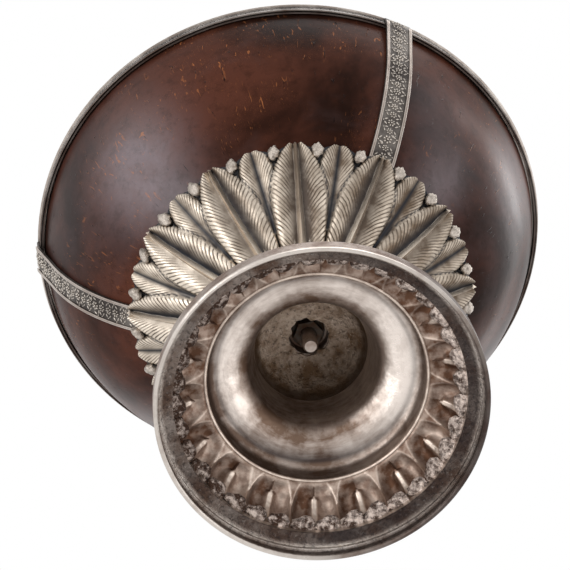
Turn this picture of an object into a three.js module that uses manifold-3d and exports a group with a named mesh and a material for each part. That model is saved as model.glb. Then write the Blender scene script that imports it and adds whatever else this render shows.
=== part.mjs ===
// A silver-mounted coconut cup: a polished half coconut shell held by a leaf calyx, three ornamented
// straps and a rim mount, on a trumpet foot with a stamped leaf border. A threaded rod soldered under
// the calyx runs down through the stem collar, where a nut draws the foot up against the bowl.
// Millimetres, +Z up. The origin is the centre of the circle on which the foot stands, and +X runs
// along the bowl's longer diameter.
import * as THREE from "three";
import Module from "manifold-3d";
import { mergeVertices } from "three/addons/utils/BufferGeometryUtils.js";

const { degToRad, lerp } = THREE.MathUtils;

// Driving dimensions: the foot's base ring and leaf border.
const FOOT_RADIUS = 33.9;
const PLINTH_HEIGHT = 3.8;
const PLINTH_ROUND = 0.7;
const BASE_HEIGHT = 6.3;
const BASE_WALL = 0.9;
const BASE_OVERLAP = 0.3;
const BORDER_FOOT_RADIUS = 30.9;
const BORDER_TOP_RADIUS = 23.6;
const BORDER_HEIGHT = 8.7;
const BORDER_WALL = 0.8;
const BORDER_BULGE = 1.5;
const BORDER_RELIEF = 1.6;
const BORDER_LEAVES = 18;
const BORDER_MIDRIB = 0.9;

// The foot's trumpet, and the dome that closes its neck.
const TRUMPET_HEIGHT = 16;
const TRUMPET_WALL = 0.8;
const COVE_HEIGHT = 3.9;
const NECK_RADIUS = 12.7;
const DOME_WALL = 0.9;
const DOME_RISE = 7.2;
const DOME_SHOULDER = 1.6;
const DOME_HOLE_RADIUS = 4.1;

// The stem collar and its fastening.
const COLLAR_HEIGHT = 5.8;
const COLLAR_RADIUS = 6.8;
const COLLAR_WAIST = 5.6;
const COLLAR_GROOVE = 0.3;
const COLLAR_WEB = 1.2;
const BOSS_RADIUS = 3.9;
const BOSS_HEIGHT = 1.1;
const ROD_RADIUS = 1.6;
const ROD_DROP = 12;
const NUT_ACROSS_FLATS = 5.4;
const NUT_HEIGHT = 2.2;
const WASHER_RADIUS = 3.6;
const WASHER_HEIGHT = 0.6;

// The coconut shell, a cut superellipse of revolution, and its slight ovality.
const SHELL_RADIUS = 53.9;
const SHELL_DEPTH = 55;
const SHELL_WALL = 4;
const SHELL_POWER = 1.89;
const SHELL_CUT = 2.4;
const BOWL_OVAL_RATIO = 0.955;

// The leaf calyx.
const CALYX_WALL = 1;
const CALYX_TIP_RADIUS = 35.4;
const CALYX_NOTCH = 2.6;
const CALYX_LEAVES = 12;
const CALYX_RELIEF = 1.5;
const CALYX_SEAT_RADIUS = 7.2;
const BEAD_RADIUS = 1.4;
const BEAD_INSET = 1.1;
const LARGE_LEAF_HALF_WIDTH = 6;
const LARGE_LEAF_RIB = 1.2;
const SMALL_LEAF_HALF_WIDTH = 3.5;

// The straps, the rim mount and its liner.
const STRAP_WIDTH = 6;
const STRAP_THICKNESS = 0.4;
const STRAP_RAMP = 8;
const STRAP_EDGE_WIDTH = 0.85;
const STRAP_EDGE_HEIGHT = 0.25;
const SLEEVE_WALL = 0.3;
const SLEEVE_CLEARANCE = 0.2;
const SLEEVE_SKIRT = 0.3;
const LINER_DEPTH = 9;
const LINER_WALL = 0.6;
const LIP_RADIUS = 0.5;
const LIP_OVERHANG = 0.4;
const BAND_HEIGHT = 1.9;
const BAND_THICKNESS = 0.4;
const RIM_WIRE_RADIUS = 0.22;

// The form that the stamped leaves share. The levels are shares of the full relief, the narrowing is the
// share of its width that a leaf lacks at its base, and the taper that which its midrib lacks at the tip.
// A reach under 1 leaves some relief at the very tip, and the crowding keeps two neighbours apart. The
// arch is the share of the border's width over which a border leaf rounds off.
const BORDER_ARCH = 0.6;
const SMALL_LEAF_LEVEL = 0.6;
const TROUGH_LEVEL = 0.25;
const RIB_LEVEL = 0.9;
const BASE_NARROWING = 0.4;
const RIB_TAPER = 0.88;
const TIP_BLUNTNESS = 0.62;
const TIP_REACH = 0.97;
const LEAF_CROWDING = 0.97;
const SWELL_START = 0.1;
const SWELL_END = 0.85;

// Clearances between pieces that are pressed, screwed or soldered together.
const CLEARANCE = 0.3;
const SOLDER_GAP = 0.1;

// Azimuths: a large calyx leaf, a border leaf, and each strap where it leaves the calyx and at the rim.
const LEAF_AZIMUTH = degToRad(8.8);
const BORDER_AZIMUTH = degToRad(3);
const STRAP_AZIMUTHS = [
  [68, 68],
  [185.4, 188.5],
  [308.7, 305.8],
].map((ends) => ends.map(degToRad));

// How finely the surfaces are drawn.
const ROUND = 36;
const SMALL_ROUND = 18;
const LIP_STEPS = 4;
const BEAD_ROUND = 6;
const BEAD_ROWS = 4;
const WIRE_ROUND = 6;
const CALYX_COLUMNS = 10 * CALYX_LEAVES;
const CALYX_ROWS = 6;
const CALYX_INNER_ROWS = 3;
const BORDER_COLUMNS = 6 * BORDER_LEAVES;
const BORDER_ROWS = 5;
const TRUMPET_STEPS = 8;
const DOME_STEPS = 4;
const SHELL_ROWS = 9;
const STRAP_STEPS = 8;

// Heights that follow from the sizes above, from the table upwards.
const borderTop = BASE_HEIGHT + BORDER_HEIGHT;
const trumpetTop = borderTop + TRUMPET_HEIGHT;
const domeTop = trumpetTop + DOME_RISE;
const collarTop = domeTop + COLLAR_HEIGHT;
const webTop = collarTop - BOSS_HEIGHT - CLEARANCE;
const webBottom = webTop - COLLAR_WEB;
const calyxFloor = collarTop + CALYX_WALL;
const shellBottom = calyxFloor + CLEARANCE;
const equator = shellBottom + SHELL_DEPTH;
const shellTop = equator - SHELL_CUT;
const rimCap = shellTop + SLEEVE_CLEARANCE;
const bandTop = rimCap - SOLDER_GAP;
const wireCentre = bandTop - BAND_HEIGHT - SOLDER_GAP - RIM_WIRE_RADIUS;
const sleeveBottom = wireCentre - RIM_WIRE_RADIUS - SLEEVE_SKIRT;

// Radii of the rim mount's layers, from the shell outwards.
const sleeveInside = SHELL_RADIUS + SLEEVE_CLEARANCE;
const sleeveOutside = sleeveInside + SLEEVE_WALL;
const bandInside = sleeveOutside + SOLDER_GAP;
const strapSeat = bandInside + Math.max(BAND_THICKNESS, 2 * RIM_WIRE_RADIUS) + SOLDER_GAP;
const lipOutside = bandInside + BAND_THICKNESS + LIP_OVERHANG;

const wasm = await Module();
wasm.setup();

const silver = new THREE.MeshStandardMaterial({ color: 0xb3aaa2, roughness: 0.35, metalness: 1 });
const darkSilver = new THREE.MeshStandardMaterial({ color: 0x6f6963, roughness: 0.5, metalness: 1 });
const leafSilver = new THREE.MeshStandardMaterial({ color: 0xb9ab93, roughness: 0.4, metalness: 1 });
const coconut = new THREE.MeshStandardMaterial({ color: 0x43251c, roughness: 0.25, metalness: 0 });
const iron = new THREE.MeshStandardMaterial({ color: 0x2d2a26, roughness: 0.6, metalness: 1 });

const cup = new THREE.Group();
// The bowl and all that is fitted to it are a little shorter across Y than along X.
const bowl = new THREE.Group();
bowl.scale.set(1, BOWL_OVAL_RATIO, 1);
cup.add(bowl);

function place(group, name, geometry, material) {
  const mesh = new THREE.Mesh(geometry, material);
  mesh.name = name;
  group.add(mesh);
}

// A closed ring turned from [radius, height] points listed anticlockwise in the (radius, height) plane.
function turned(points, segments = ROUND) {
  const closed = [...points, points[0]].map(([r, z]) => new THREE.Vector2(r, z));
  return new THREE.LatheGeometry(closed, segments).rotateX(Math.PI / 2);
}

// A plain ring between two radii and two heights.
function plainRing(inside, outside, bottom, top, segments) {
  const corners = [
    [outside, bottom],
    [outside, top],
    [inside, top],
    [inside, bottom],
  ];
  return turned(corners, segments);
}

// Points of a smooth line through [radius, height] points.
function smooth(points, steps) {
  const line = new THREE.CatmullRomCurve3(points.map(([r, z]) => new THREE.Vector3(r, 0, z)));
  return line.getPoints(steps).map((p) => [p.x, p.z]);
}

// A quarter of an ellipse that starts upright and ends level.
function quarter([r0, z0], [r1, z1], steps) {
  const line = [];
  for (let i = 0; i <= steps; i++) {
    const turn = ((Math.PI / 2) * i) / steps;
    line.push([r1 + (r0 - r1) * Math.cos(turn), z0 + (z1 - z0) * Math.sin(turn)]);
  }
  return line;
}

// A line of [radius, height] points moved to the left of its direction.
function beside(points, distance) {
  return points.map(([r, z], i) => {
    const [r0, z0] = points[Math.max(i - 1, 0)];
    const [r1, z1] = points[Math.min(i + 1, points.length - 1)];
    const length = Math.hypot(r1 - r0, z1 - z0);
    return [r - (distance * (z1 - z0)) / length, z + (distance * (r1 - r0)) / length];
  });
}

// A body from a grid of points: row after row of a section that closes on itself. The rows close on
// each other too, or end in flat caps.
function bodyFromGrid(rows, closed) {
  const count = rows[0].length;
  const faces = [];
  for (let row = 0; row < (closed ? rows.length : rows.length - 1); row++)
    for (let i = 0; i < count; i++) {
      const here = row * count + i;
      const next = row * count + ((i + 1) % count);
      const over = ((row + 1) % rows.length) * count;
      faces.push(here, over + i, over + ((i + 1) % count));
      faces.push(here, over + ((i + 1) % count), next);
    }
  const last = (rows.length - 1) * count;
  for (let i = 1; i + 1 < count && !closed; i++) faces.push(0, i, i + 1, last, last + i + 1, last + i);
  const geometry = new THREE.BufferGeometry();
  const points = rows.flat().flatMap((point) => point.toArray());
  geometry.setAttribute("position", new THREE.Float32BufferAttribute(points, 3));
  geometry.setIndex(faces);
  return geometry;
}

// A closed ring whose [radius, height] section, with a fixed number of points, changes with azimuth. One
// of its columns stands at the first azimuth.
function formedRing(columns, first, sectionAt) {
  const rows = [];
  for (let c = 0; c < columns; c++) {
    const azimuth = first + (2 * Math.PI * c) / columns;
    rows.push(sectionAt(azimuth).map(([r, z]) => polar(r, azimuth, z)));
  }
  return bodyFromGrid(rows, true);
}

function polar(radius, azimuth, z) {
  return new THREE.Vector3(radius * Math.cos(azimuth), radius * Math.sin(azimuth), z);
}

// A geometry as a solid that can be joined, and back again.
function solidOf(geometry) {
  const bare = geometry.clone();
  bare.deleteAttribute("normal");
  bare.deleteAttribute("uv");
  const merged = mergeVertices(bare, 1e-4);
  return new wasm.Manifold(
    new wasm.Mesh({
      numProp: 3,
      vertProperties: merged.attributes.position.array,
      triVerts: new Uint32Array(merged.index.array),
    }),
  );
}

function geometryOf(solid) {
  const mesh = solid.getMesh();
  const geometry = new THREE.BufferGeometry();
  geometry.setAttribute("position", new THREE.Float32BufferAttribute(mesh.vertProperties, 3));
  geometry.setIndex([...mesh.triVerts]);
  return geometry;
}

// The outside of the coconut shell, moved out along its normal. The slope runs from 0 at the equator
// to a quarter turn at the bottom.
function shellPoint(slope, outwards = 0) {
  const r = SHELL_RADIUS * Math.max(Math.cos(slope), 0) ** (2 / SHELL_POWER);
  const drop = SHELL_DEPTH * Math.sin(slope) ** (2 / SHELL_POWER);
  const nr = r ** (SHELL_POWER - 1) / SHELL_RADIUS ** SHELL_POWER;
  const nz = drop ** (SHELL_POWER - 1) / SHELL_DEPTH ** SHELL_POWER;
  const length = Math.hypot(nr, nz);
  return [r + (outwards * nr) / length, equator - drop - (outwards * nz) / length];
}

// The slope at which the shell's outside has a given radius, or a given drop below the equator.
function slopeAtRadius(radius) {
  return Math.acos(Math.min(radius / SHELL_RADIUS, 1) ** (SHELL_POWER / 2));
}

function slopeAtDrop(drop) {
  return Math.asin(Math.min(drop / SHELL_DEPTH, 1) ** (SHELL_POWER / 2));
}

// The turn, without its sign, from an azimuth to the nearest of a number of evenly spaced ones.
function offNearest(azimuth, first, count) {
  const turn = ((azimuth - first) * count) / (2 * Math.PI);
  return (Math.abs(turn - Math.round(turn)) * 2 * Math.PI) / count;
}

// The relief of a lance-shaped leaf: 0 outside its outline and up to its level on it. A midrib that
// tapers to the tip stands in a trough, and the blade swells on each side of it. along runs from 0 at
// the base to 1 at the tip, aside is the distance from the midline, and room is that to the neighbour's.
function leafRelief(leaf, along, aside, room) {
  const beyond = Math.max((along - leaf.widest) / (1 - leaf.widest), 0);
  const before = Math.max((leaf.widest - along) / leaf.widest, 0);
  const narrowing = Math.max(1 - beyond ** 2, 0) ** TIP_BLUNTNESS * (1 - BASE_NARROWING * before);
  const half = Math.min(leaf.halfWidth * narrowing, LEAF_CROWDING * room);
  if (half <= 0 || aside >= half) return 0;
  const rib = Math.min(leaf.rib * (1 - RIB_TAPER * along), half / 2);
  if (aside < rib) return leaf.level * lerp(RIB_LEVEL, TROUGH_LEVEL, aside / rib);
  const swell = lerp(SWELL_START, SWELL_END, (aside - rib) / (half - rib));
  return leaf.level * lerp(TROUGH_LEVEL, 1, Math.sin(Math.PI * swell));
}

// The calyx's two kinds of leaf. widest is the share of the length at which a leaf is widest.
const largeLeaf = { halfWidth: LARGE_LEAF_HALF_WIDTH, widest: 0.62, rib: LARGE_LEAF_RIB, level: 1 };
const smallLeaf = {
  halfWidth: SMALL_LEAF_HALF_WIDTH,
  widest: 0.86,
  rib: LARGE_LEAF_RIB / 3,
  level: SMALL_LEAF_LEVEL,
};

// The foot's moulded base ring, open below.
function footBase() {
  const ledge = PLINTH_HEIGHT + PLINTH_ROUND;
  const hollow = FOOT_RADIUS - BASE_WALL;
  const neck = BORDER_FOOT_RADIUS - BORDER_WALL - BASE_OVERLAP;
  const outside = [
    [FOOT_RADIUS, 0],
    [FOOT_RADIUS, PLINTH_HEIGHT],
    [FOOT_RADIUS - PLINTH_ROUND / 2, ledge - PLINTH_ROUND / 4],
    [(FOOT_RADIUS + BORDER_FOOT_RADIUS) / 2, ledge],
    [BORDER_FOOT_RADIUS + 2 * BASE_OVERLAP, (ledge + BASE_HEIGHT) / 2],
    [BORDER_FOOT_RADIUS + BASE_OVERLAP, BASE_HEIGHT],
  ];
  const inside = [
    [neck, BASE_HEIGHT],
    [neck, ledge],
    [hollow - BASE_WALL, PLINTH_HEIGHT],
    [hollow, PLINTH_HEIGHT - BASE_WALL],
    [hollow, 0],
  ];
  return turned([...outside, ...inside]);
}

// The relief of a border leaf, 0 to 1: two puffed lobes beside a sunk midrib, under a round arch. along
// runs from 0 at the arch to 1 at the border's foot.
function borderRelief(along, aside, room) {
  const left = Math.max(BORDER_ARCH - along, 0) / BORDER_ARCH;
  const half = LEAF_CROWDING * room * Math.sqrt(1 - left ** 2);
  const rib = BORDER_MIDRIB / 2;
  if (aside <= rib || aside >= half) return 0;
  return Math.sin((Math.PI * (aside - rib)) / (half - rib));
}

// The foot's stamped border of round-headed leaves, with wedges of plain ground between their heads.
// The sheet has the same thickness all over, so that the lobes show as hollows from below.
function footBorder() {
  const halfPitch = Math.PI / BORDER_LEAVES;
  const run = BORDER_FOOT_RADIUS - BORDER_TOP_RADIUS;
  const slant = Math.hypot(run, BORDER_HEIGHT);
  const [nr, nz] = [BORDER_HEIGHT / slant, run / slant];
  return formedRing(BORDER_COLUMNS, BORDER_AZIMUTH, (azimuth) => {
    const fromLeaf = offNearest(azimuth, BORDER_AZIMUTH, BORDER_LEAVES);
    const outside = [];
    const inside = [];
    for (let row = 0; row <= BORDER_ROWS; row++) {
      const up = row / BORDER_ROWS;
      const atEdge = row === 0 || row === BORDER_ROWS;
      const r = BORDER_FOOT_RADIUS - run * up;
      const z = BASE_HEIGHT + BORDER_HEIGHT * up;
      const relief = atEdge ? 0 : BORDER_RELIEF * borderRelief(1 - up, fromLeaf * r, halfPitch * r);
      const out = BORDER_BULGE * Math.sin(Math.PI * up) + relief;
      const wall = atEdge ? [BORDER_WALL, 0] : [BORDER_WALL * nr, BORDER_WALL * nz];
      outside.push([r + out * nr, z + out * nz]);
      inside.unshift([r + out * nr - wall[0], z + out * nz - wall[1]]);
    }
    return [...outside, ...inside];
  });
}

// The foot's smooth trumpet: a cove above the border, and the flare that rises into the neck.
function footTrumpet() {
  const inner = BORDER_TOP_RADIUS - TRUMPET_WALL;
  const neck = NECK_RADIUS - TRUMPET_WALL;
  const flare = inner - neck;
  const cove = borderTop + COVE_HEIGHT;
  const rise = trumpetTop - cove;
  const below = smooth(
    [
      [inner, borderTop],
      [inner - 0.03 * flare, borderTop + COVE_HEIGHT / 2],
      [inner - 0.13 * flare, cove],
      [inner - 0.5 * flare, cove + 0.1 * rise],
      [inner - 0.82 * flare, cove + 0.37 * rise],
      [neck, trumpetTop],
    ],
    TRUMPET_STEPS,
  );
  const above = beside(below, -TRUMPET_WALL);
  above[0] = [BORDER_TOP_RADIUS, borderTop];
  above[TRUMPET_STEPS] = [NECK_RADIUS, trumpetTop];
  return turned([...above, ...below.reverse()]);
}

// The dome that closes the neck, with the wide rough hole through which the nut is reached. Its
// shoulder stands on the trumpet's top edge.
function stemDome() {
  const edge = NECK_RADIUS - DOME_SHOULDER;
  const shoulder = trumpetTop + DOME_WALL;
  const above = quarter([edge + DOME_WALL, shoulder], [COLLAR_RADIUS, domeTop], DOME_STEPS);
  const below = quarter([edge, trumpetTop], [DOME_HOLE_RADIUS, domeTop - DOME_WALL], DOME_STEPS);
  const flange = [
    [NECK_RADIUS, trumpetTop],
    [NECK_RADIUS, shoulder],
  ];
  return turned([...flange, ...above, [DOME_HOLE_RADIUS, domeTop], ...below.reverse()], SMALL_ROUND);
}

// The turned collar between the foot and the calyx. Its web takes the nut's pull.
function stemCollar() {
  const rodHole = ROD_RADIUS + CLEARANCE;
  const bossPocket = BOSS_RADIUS + CLEARANCE;
  const middle = (domeTop + collarTop) / 2;
  const quarterHeight = COLLAR_HEIGHT / 4;
  const outside = [
    [COLLAR_WAIST, domeTop],
    [COLLAR_WAIST - COLLAR_GROOVE, middle - quarterHeight],
    [COLLAR_RADIUS, middle - quarterHeight / 2],
    [COLLAR_RADIUS, middle + quarterHeight / 2],
    [COLLAR_WAIST - COLLAR_GROOVE, middle + quarterHeight],
    [COLLAR_WAIST, collarTop],
  ];
  const inside = [
    [bossPocket, collarTop],
    [bossPocket, webTop],
    [rodHole, webTop],
    [rodHole, webBottom],
    [DOME_HOLE_RADIUS, webBottom],
    [DOME_HOLE_RADIUS, domeTop],
  ];
  return turned([...outside, ...inside], SMALL_ROUND);
}

function threadedRod() {
  const top = calyxFloor - CLEARANCE;
  const bottom = collarTop - ROD_DROP;
  const rod = new THREE.CylinderGeometry(ROD_RADIUS, ROD_RADIUS, top - bottom, SMALL_ROUND);
  return rod.rotateX(Math.PI / 2).translate(0, 0, (top + bottom) / 2);
}

function rodNut() {
  const corner = NUT_ACROSS_FLATS / Math.sqrt(3);
  const corners = [];
  for (let i = 0; i < 6; i++) {
    const turn = (Math.PI / 3) * i;
    corners.push(new THREE.Vector2(corner * Math.cos(turn), corner * Math.sin(turn)));
  }
  const hexagon = new THREE.Shape(corners);
  hexagon.holes.push(new THREE.Path().absarc(0, 0, ROD_RADIUS + SOLDER_GAP, 0, 2 * Math.PI, true));
  const nut = new THREE.ExtrudeGeometry(hexagon, { depth: NUT_HEIGHT, bevelEnabled: false });
  return nut.translate(0, 0, webBottom - WASHER_HEIGHT - NUT_HEIGHT);
}

// The calyx edge: it falls from each tip to a notch midway to the next.
function calyxEdge(azimuth) {
  const lobe = (offNearest(azimuth, LEAF_AZIMUTH, 2 * CALYX_LEAVES) * 2 * CALYX_LEAVES) / Math.PI;
  const fall = CALYX_NOTCH * (1 - Math.sqrt(1 - Math.min(lobe, 1) ** 2));
  return slopeAtRadius(CALYX_TIP_RADIUS) + fall / SHELL_DEPTH;
}

// The leaf calyx: a cup of twelve large leaves with twelve small ones behind them, and a bead in each
// notch of its edge. Its flat floor sits on the collar and takes the rod.
function leafCalyx() {
  const halfPitch = Math.PI / CALYX_LEAVES;
  const seat = slopeAtRadius(CALYX_SEAT_RADIUS);
  const rodHole = ROD_RADIUS + SOLDER_GAP;
  const sheet = CLEARANCE + CALYX_WALL;
  const leaves = formedRing(CALYX_COLUMNS, LEAF_AZIMUTH, (azimuth) => {
    const edge = calyxEdge(azimuth);
    const fromLarge = offNearest(azimuth, LEAF_AZIMUTH, CALYX_LEAVES);
    const fromSmall = offNearest(azimuth, LEAF_AZIMUTH + halfPitch, CALYX_LEAVES);
    const outside = [];
    for (let row = 0; row <= CALYX_ROWS; row++) {
      const slope = lerp(seat, edge, row / CALYX_ROWS);
      const along = (TIP_REACH * (seat - slope)) / (seat - slopeAtRadius(CALYX_TIP_RADIUS));
      const [r] = shellPoint(slope, sheet);
      const large = leafRelief(largeLeaf, along, fromLarge * r, halfPitch * r);
      const small = leafRelief(smallLeaf, along, fromSmall * r, halfPitch * r);
      const relief = row === 0 ? 0 : CALYX_RELIEF * Math.max(large, small);
      outside.push(shellPoint(slope, sheet + relief));
    }
    const inside = [];
    for (let row = CALYX_INNER_ROWS; row >= 0; row--)
      inside.push(shellPoint(lerp(seat, edge, row / CALYX_INNER_ROWS), CLEARANCE));
    const floor = [
      [rodHole, calyxFloor],
      [rodHole, collarTop],
      [CALYX_SEAT_RADIUS, collarTop],
    ];
    return [...floor, ...outside, ...inside];
  });
  let calyx = solidOf(leaves);
  for (let i = 0; i < 2 * CALYX_LEAVES; i++) {
    const azimuth = LEAF_AZIMUTH + (i + 0.5) * halfPitch;
    const slope = calyxEdge(azimuth) - BEAD_INSET / SHELL_DEPTH;
    const [r, z] = shellPoint(slope, CLEARANCE + BEAD_RADIUS);
    const bead = new THREE.SphereGeometry(BEAD_RADIUS, BEAD_ROUND, BEAD_ROWS).rotateX(Math.PI / 2);
    calyx = calyx.add(solidOf(bead.translate(...polar(r, azimuth, z).toArray())));
  }
  return geometryOf(calyx);
}

// The coconut shell, cut a little below its equator.
function coconutShell() {
  const bottom = Math.PI / 2;
  const top = slopeAtDrop(SHELL_CUT);
  const outside = [];
  const inside = [];
  for (let row = 0; row <= SHELL_ROWS; row++) {
    const slope = lerp(bottom, top, row / SHELL_ROWS);
    outside.push(shellPoint(slope));
    inside.unshift(shellPoint(slope, -SHELL_WALL));
  }
  inside[0] = [outside[SHELL_ROWS][0] - SHELL_WALL, shellTop];
  const profile = [...outside, ...inside].map(([r, z]) => new THREE.Vector2(r, z));
  profile[0].x = 0;
  profile[profile.length - 1].x = 0;
  return new THREE.LatheGeometry(profile, ROUND).rotateX(Math.PI / 2);
}

// The rim mount's sleeve, lip and liner in one piece: a sleeve outside the shell, a rolled lip over
// its cut edge, and a liner inside it.
function rimSleeve() {
  const linerOutside = shellPoint(slopeAtDrop(SHELL_CUT))[0] - SHELL_WALL - CLEARANCE;
  const linerFoot = shellPoint(slopeAtDrop(LINER_DEPTH + SHELL_CUT), -SHELL_WALL)[0] - CLEARANCE;
  const linerLow = Math.min(linerOutside, linerFoot);
  const lip = [];
  for (let i = 0; i <= LIP_STEPS; i++) {
    const turn = (Math.PI * i) / LIP_STEPS;
    const r = lipOutside - LIP_RADIUS + LIP_RADIUS * Math.cos(turn);
    lip.push([r, rimCap + SOLDER_GAP + LIP_RADIUS * Math.sin(turn)]);
  }
  return turned([
    [sleeveInside, sleeveBottom],
    [sleeveOutside, sleeveBottom],
    [sleeveOutside, rimCap],
    ...lip,
    [linerOutside - LINER_WALL, rimCap + LINER_WALL],
    [linerLow - LINER_WALL, rimCap - LINER_DEPTH],
    [linerLow, rimCap - LINER_DEPTH],
    [linerOutside, rimCap],
    [sleeveInside, rimCap],
  ]);
}

// The wire that borders the ornamented band below.
function rimWire() {
  const section = [];
  for (let i = 0; i < WIRE_ROUND; i++) {
    const turn = (2 * Math.PI * i) / WIRE_ROUND;
    const r = bandInside + RIM_WIRE_RADIUS + RIM_WIRE_RADIUS * Math.cos(turn);
    section.push([r, wireCentre + RIM_WIRE_RADIUS * Math.sin(turn)]);
  }
  return turned(section);
}

// The line that the middle of a strap follows up the shell and over the rim mount to its lip.
function strapLine(outwards) {
  const start = slopeAtRadius(CALYX_TIP_RADIUS) - (STRAP_THICKNESS + SOLDER_GAP) / SHELL_DEPTH;
  const end = slopeAtDrop(equator - sleeveBottom + STRAP_RAMP);
  const line = [];
  for (let i = 0; i <= STRAP_STEPS; i++)
    line.push(shellPoint(lerp(start, end, i / STRAP_STEPS), CLEARANCE + outwards));
  line.push([strapSeat + outwards, sleeveBottom - SLEEVE_SKIRT]);
  line.push([strapSeat + outwards, bandTop - SOLDER_GAP]);
  return line;
}

// A strip along a strap's line, between two distances aside and two heights above the strap's back.
// The strap leans over evenly from its azimuth at the calyx to that at the rim.
function strapStrip([calyxAzimuth, rimAzimuth], [right, left], [bottom, top]) {
  const low = strapLine(bottom);
  const high = strapLine(top);
  const rows = low.map((_, i) => {
    const azimuth = lerp(calyxAzimuth, rimAzimuth, i / (low.length - 1));
    const aside = polar(1, azimuth + Math.PI / 2, 0);
    const corner = ([r, z], side) => polar(r, azimuth, z).addScaledVector(aside, side);
    return [corner(low[i], right), corner(low[i], left), corner(high[i], left), corner(high[i], right)];
  });
  return bodyFromGrid(rows, false);
}

place(cup, "foot_base_ring", footBase(), darkSilver);
place(cup, "foot_leaf_border", footBorder(), silver);
place(cup, "foot_trumpet", footTrumpet(), silver);
place(cup, "stem_dome", stemDome(), silver);
place(cup, "stem_collar", stemCollar(), silver);

const rodClear = ROD_RADIUS + SOLDER_GAP;
const washerBottom = webBottom - WASHER_HEIGHT;
const boss = plainRing(rodClear, BOSS_RADIUS, collarTop - BOSS_HEIGHT, collarTop, SMALL_ROUND);
const washer = plainRing(rodClear, WASHER_RADIUS, washerBottom, webBottom, SMALL_ROUND);
place(cup, "threaded_rod", threadedRod(), iron);
place(cup, "rod_boss", boss, darkSilver);
place(cup, "rod_washer", washer, iron);
place(cup, "rod_nut", rodNut(), iron);

place(bowl, "leaf_calyx", leafCalyx(), leafSilver);
place(bowl, "coconut_shell", coconutShell(), coconut);
place(bowl, "rim_sleeve", rimSleeve(), silver);
const band = plainRing(bandInside, bandInside + BAND_THICKNESS, bandTop - BAND_HEIGHT, bandTop);
place(bowl, "rim_band", band, darkSilver);
place(bowl, "rim_wire", rimWire(), silver);

STRAP_AZIMUTHS.forEach((ends, i) => {
  const half = STRAP_WIDTH / 2;
  const seat = STRAP_THICKNESS + SOLDER_GAP;
  const wire = [seat, seat + STRAP_EDGE_HEIGHT];
  const name = `strap_${i + 1}`;
  place(bowl, name, strapStrip(ends, [-half, half], [0, STRAP_THICKNESS]), darkSilver);
  const right = strapStrip(ends, [-half, STRAP_EDGE_WIDTH - half], wire);
  const left = strapStrip(ends, [half - STRAP_EDGE_WIDTH, half], wire);
  place(bowl, `${name}_right_wire`, right, silver);
  place(bowl, `${name}_left_wire`, left, silver);
});

export default cup;
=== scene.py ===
"""A silver-mounted coconut cup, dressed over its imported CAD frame.

The camera looks up at the cup from below, at the hollow foot, the leaf calyx and the polished shell.
Lengths are in metres. +Z runs up the stem, and +X runs along the bowl's longer diameter.
"""
import logging
import math
from dataclasses import dataclass
from enum import Enum

import bmesh
import bpy
import numpy as np
from mathutils import Matrix, Vector


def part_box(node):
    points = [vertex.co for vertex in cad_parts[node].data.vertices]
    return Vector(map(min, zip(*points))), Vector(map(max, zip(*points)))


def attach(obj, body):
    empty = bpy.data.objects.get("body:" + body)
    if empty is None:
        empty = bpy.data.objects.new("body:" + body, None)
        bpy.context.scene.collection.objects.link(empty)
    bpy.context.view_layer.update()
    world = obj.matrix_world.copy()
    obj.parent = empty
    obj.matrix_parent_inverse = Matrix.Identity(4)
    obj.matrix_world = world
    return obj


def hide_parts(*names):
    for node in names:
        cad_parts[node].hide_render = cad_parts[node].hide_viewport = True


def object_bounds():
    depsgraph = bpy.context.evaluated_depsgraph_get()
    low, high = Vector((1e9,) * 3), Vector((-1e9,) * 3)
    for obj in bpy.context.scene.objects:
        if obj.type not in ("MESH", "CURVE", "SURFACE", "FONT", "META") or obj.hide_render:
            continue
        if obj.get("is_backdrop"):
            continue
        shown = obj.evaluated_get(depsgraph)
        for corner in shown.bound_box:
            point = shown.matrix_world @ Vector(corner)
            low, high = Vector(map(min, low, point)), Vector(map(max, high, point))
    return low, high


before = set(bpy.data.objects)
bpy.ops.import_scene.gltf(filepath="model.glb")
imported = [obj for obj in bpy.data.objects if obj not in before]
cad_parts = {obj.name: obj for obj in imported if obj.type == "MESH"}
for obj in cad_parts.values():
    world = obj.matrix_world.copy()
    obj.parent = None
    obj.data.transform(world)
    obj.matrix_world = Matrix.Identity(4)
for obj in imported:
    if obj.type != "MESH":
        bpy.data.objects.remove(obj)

LOG = logging.getLogger("coconut_cup")
MM = 0.001
BORDER_RADIUS = 30.9 * MM
Colour = tuple[float, float, float, float]
Array = np.ndarray


class Slot(Enum):
    """The record's material slots. Each piece is passed one, but nothing in the script reads it."""

    SILVER = "silver"
    SILVER_DARK = "silver_dark"
    SILVER_LEAF = "silver_leaf"
    COCONUT = "coconut"
    IRON = "iron"


def rgb(red: float, green: float, blue: float) -> Colour:
    """Turns a colour as it looks on screen, 0 to 255, into the linear values that nodes take."""

    def linear(value: float) -> float:
        """Gives one channel's linear value."""
        share = value / 255
        return share / 12.92 if share <= 0.04045 else ((share + 0.055) / 1.055) ** 2.4

    return linear(red), linear(green), linear(blue), 1.0


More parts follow.
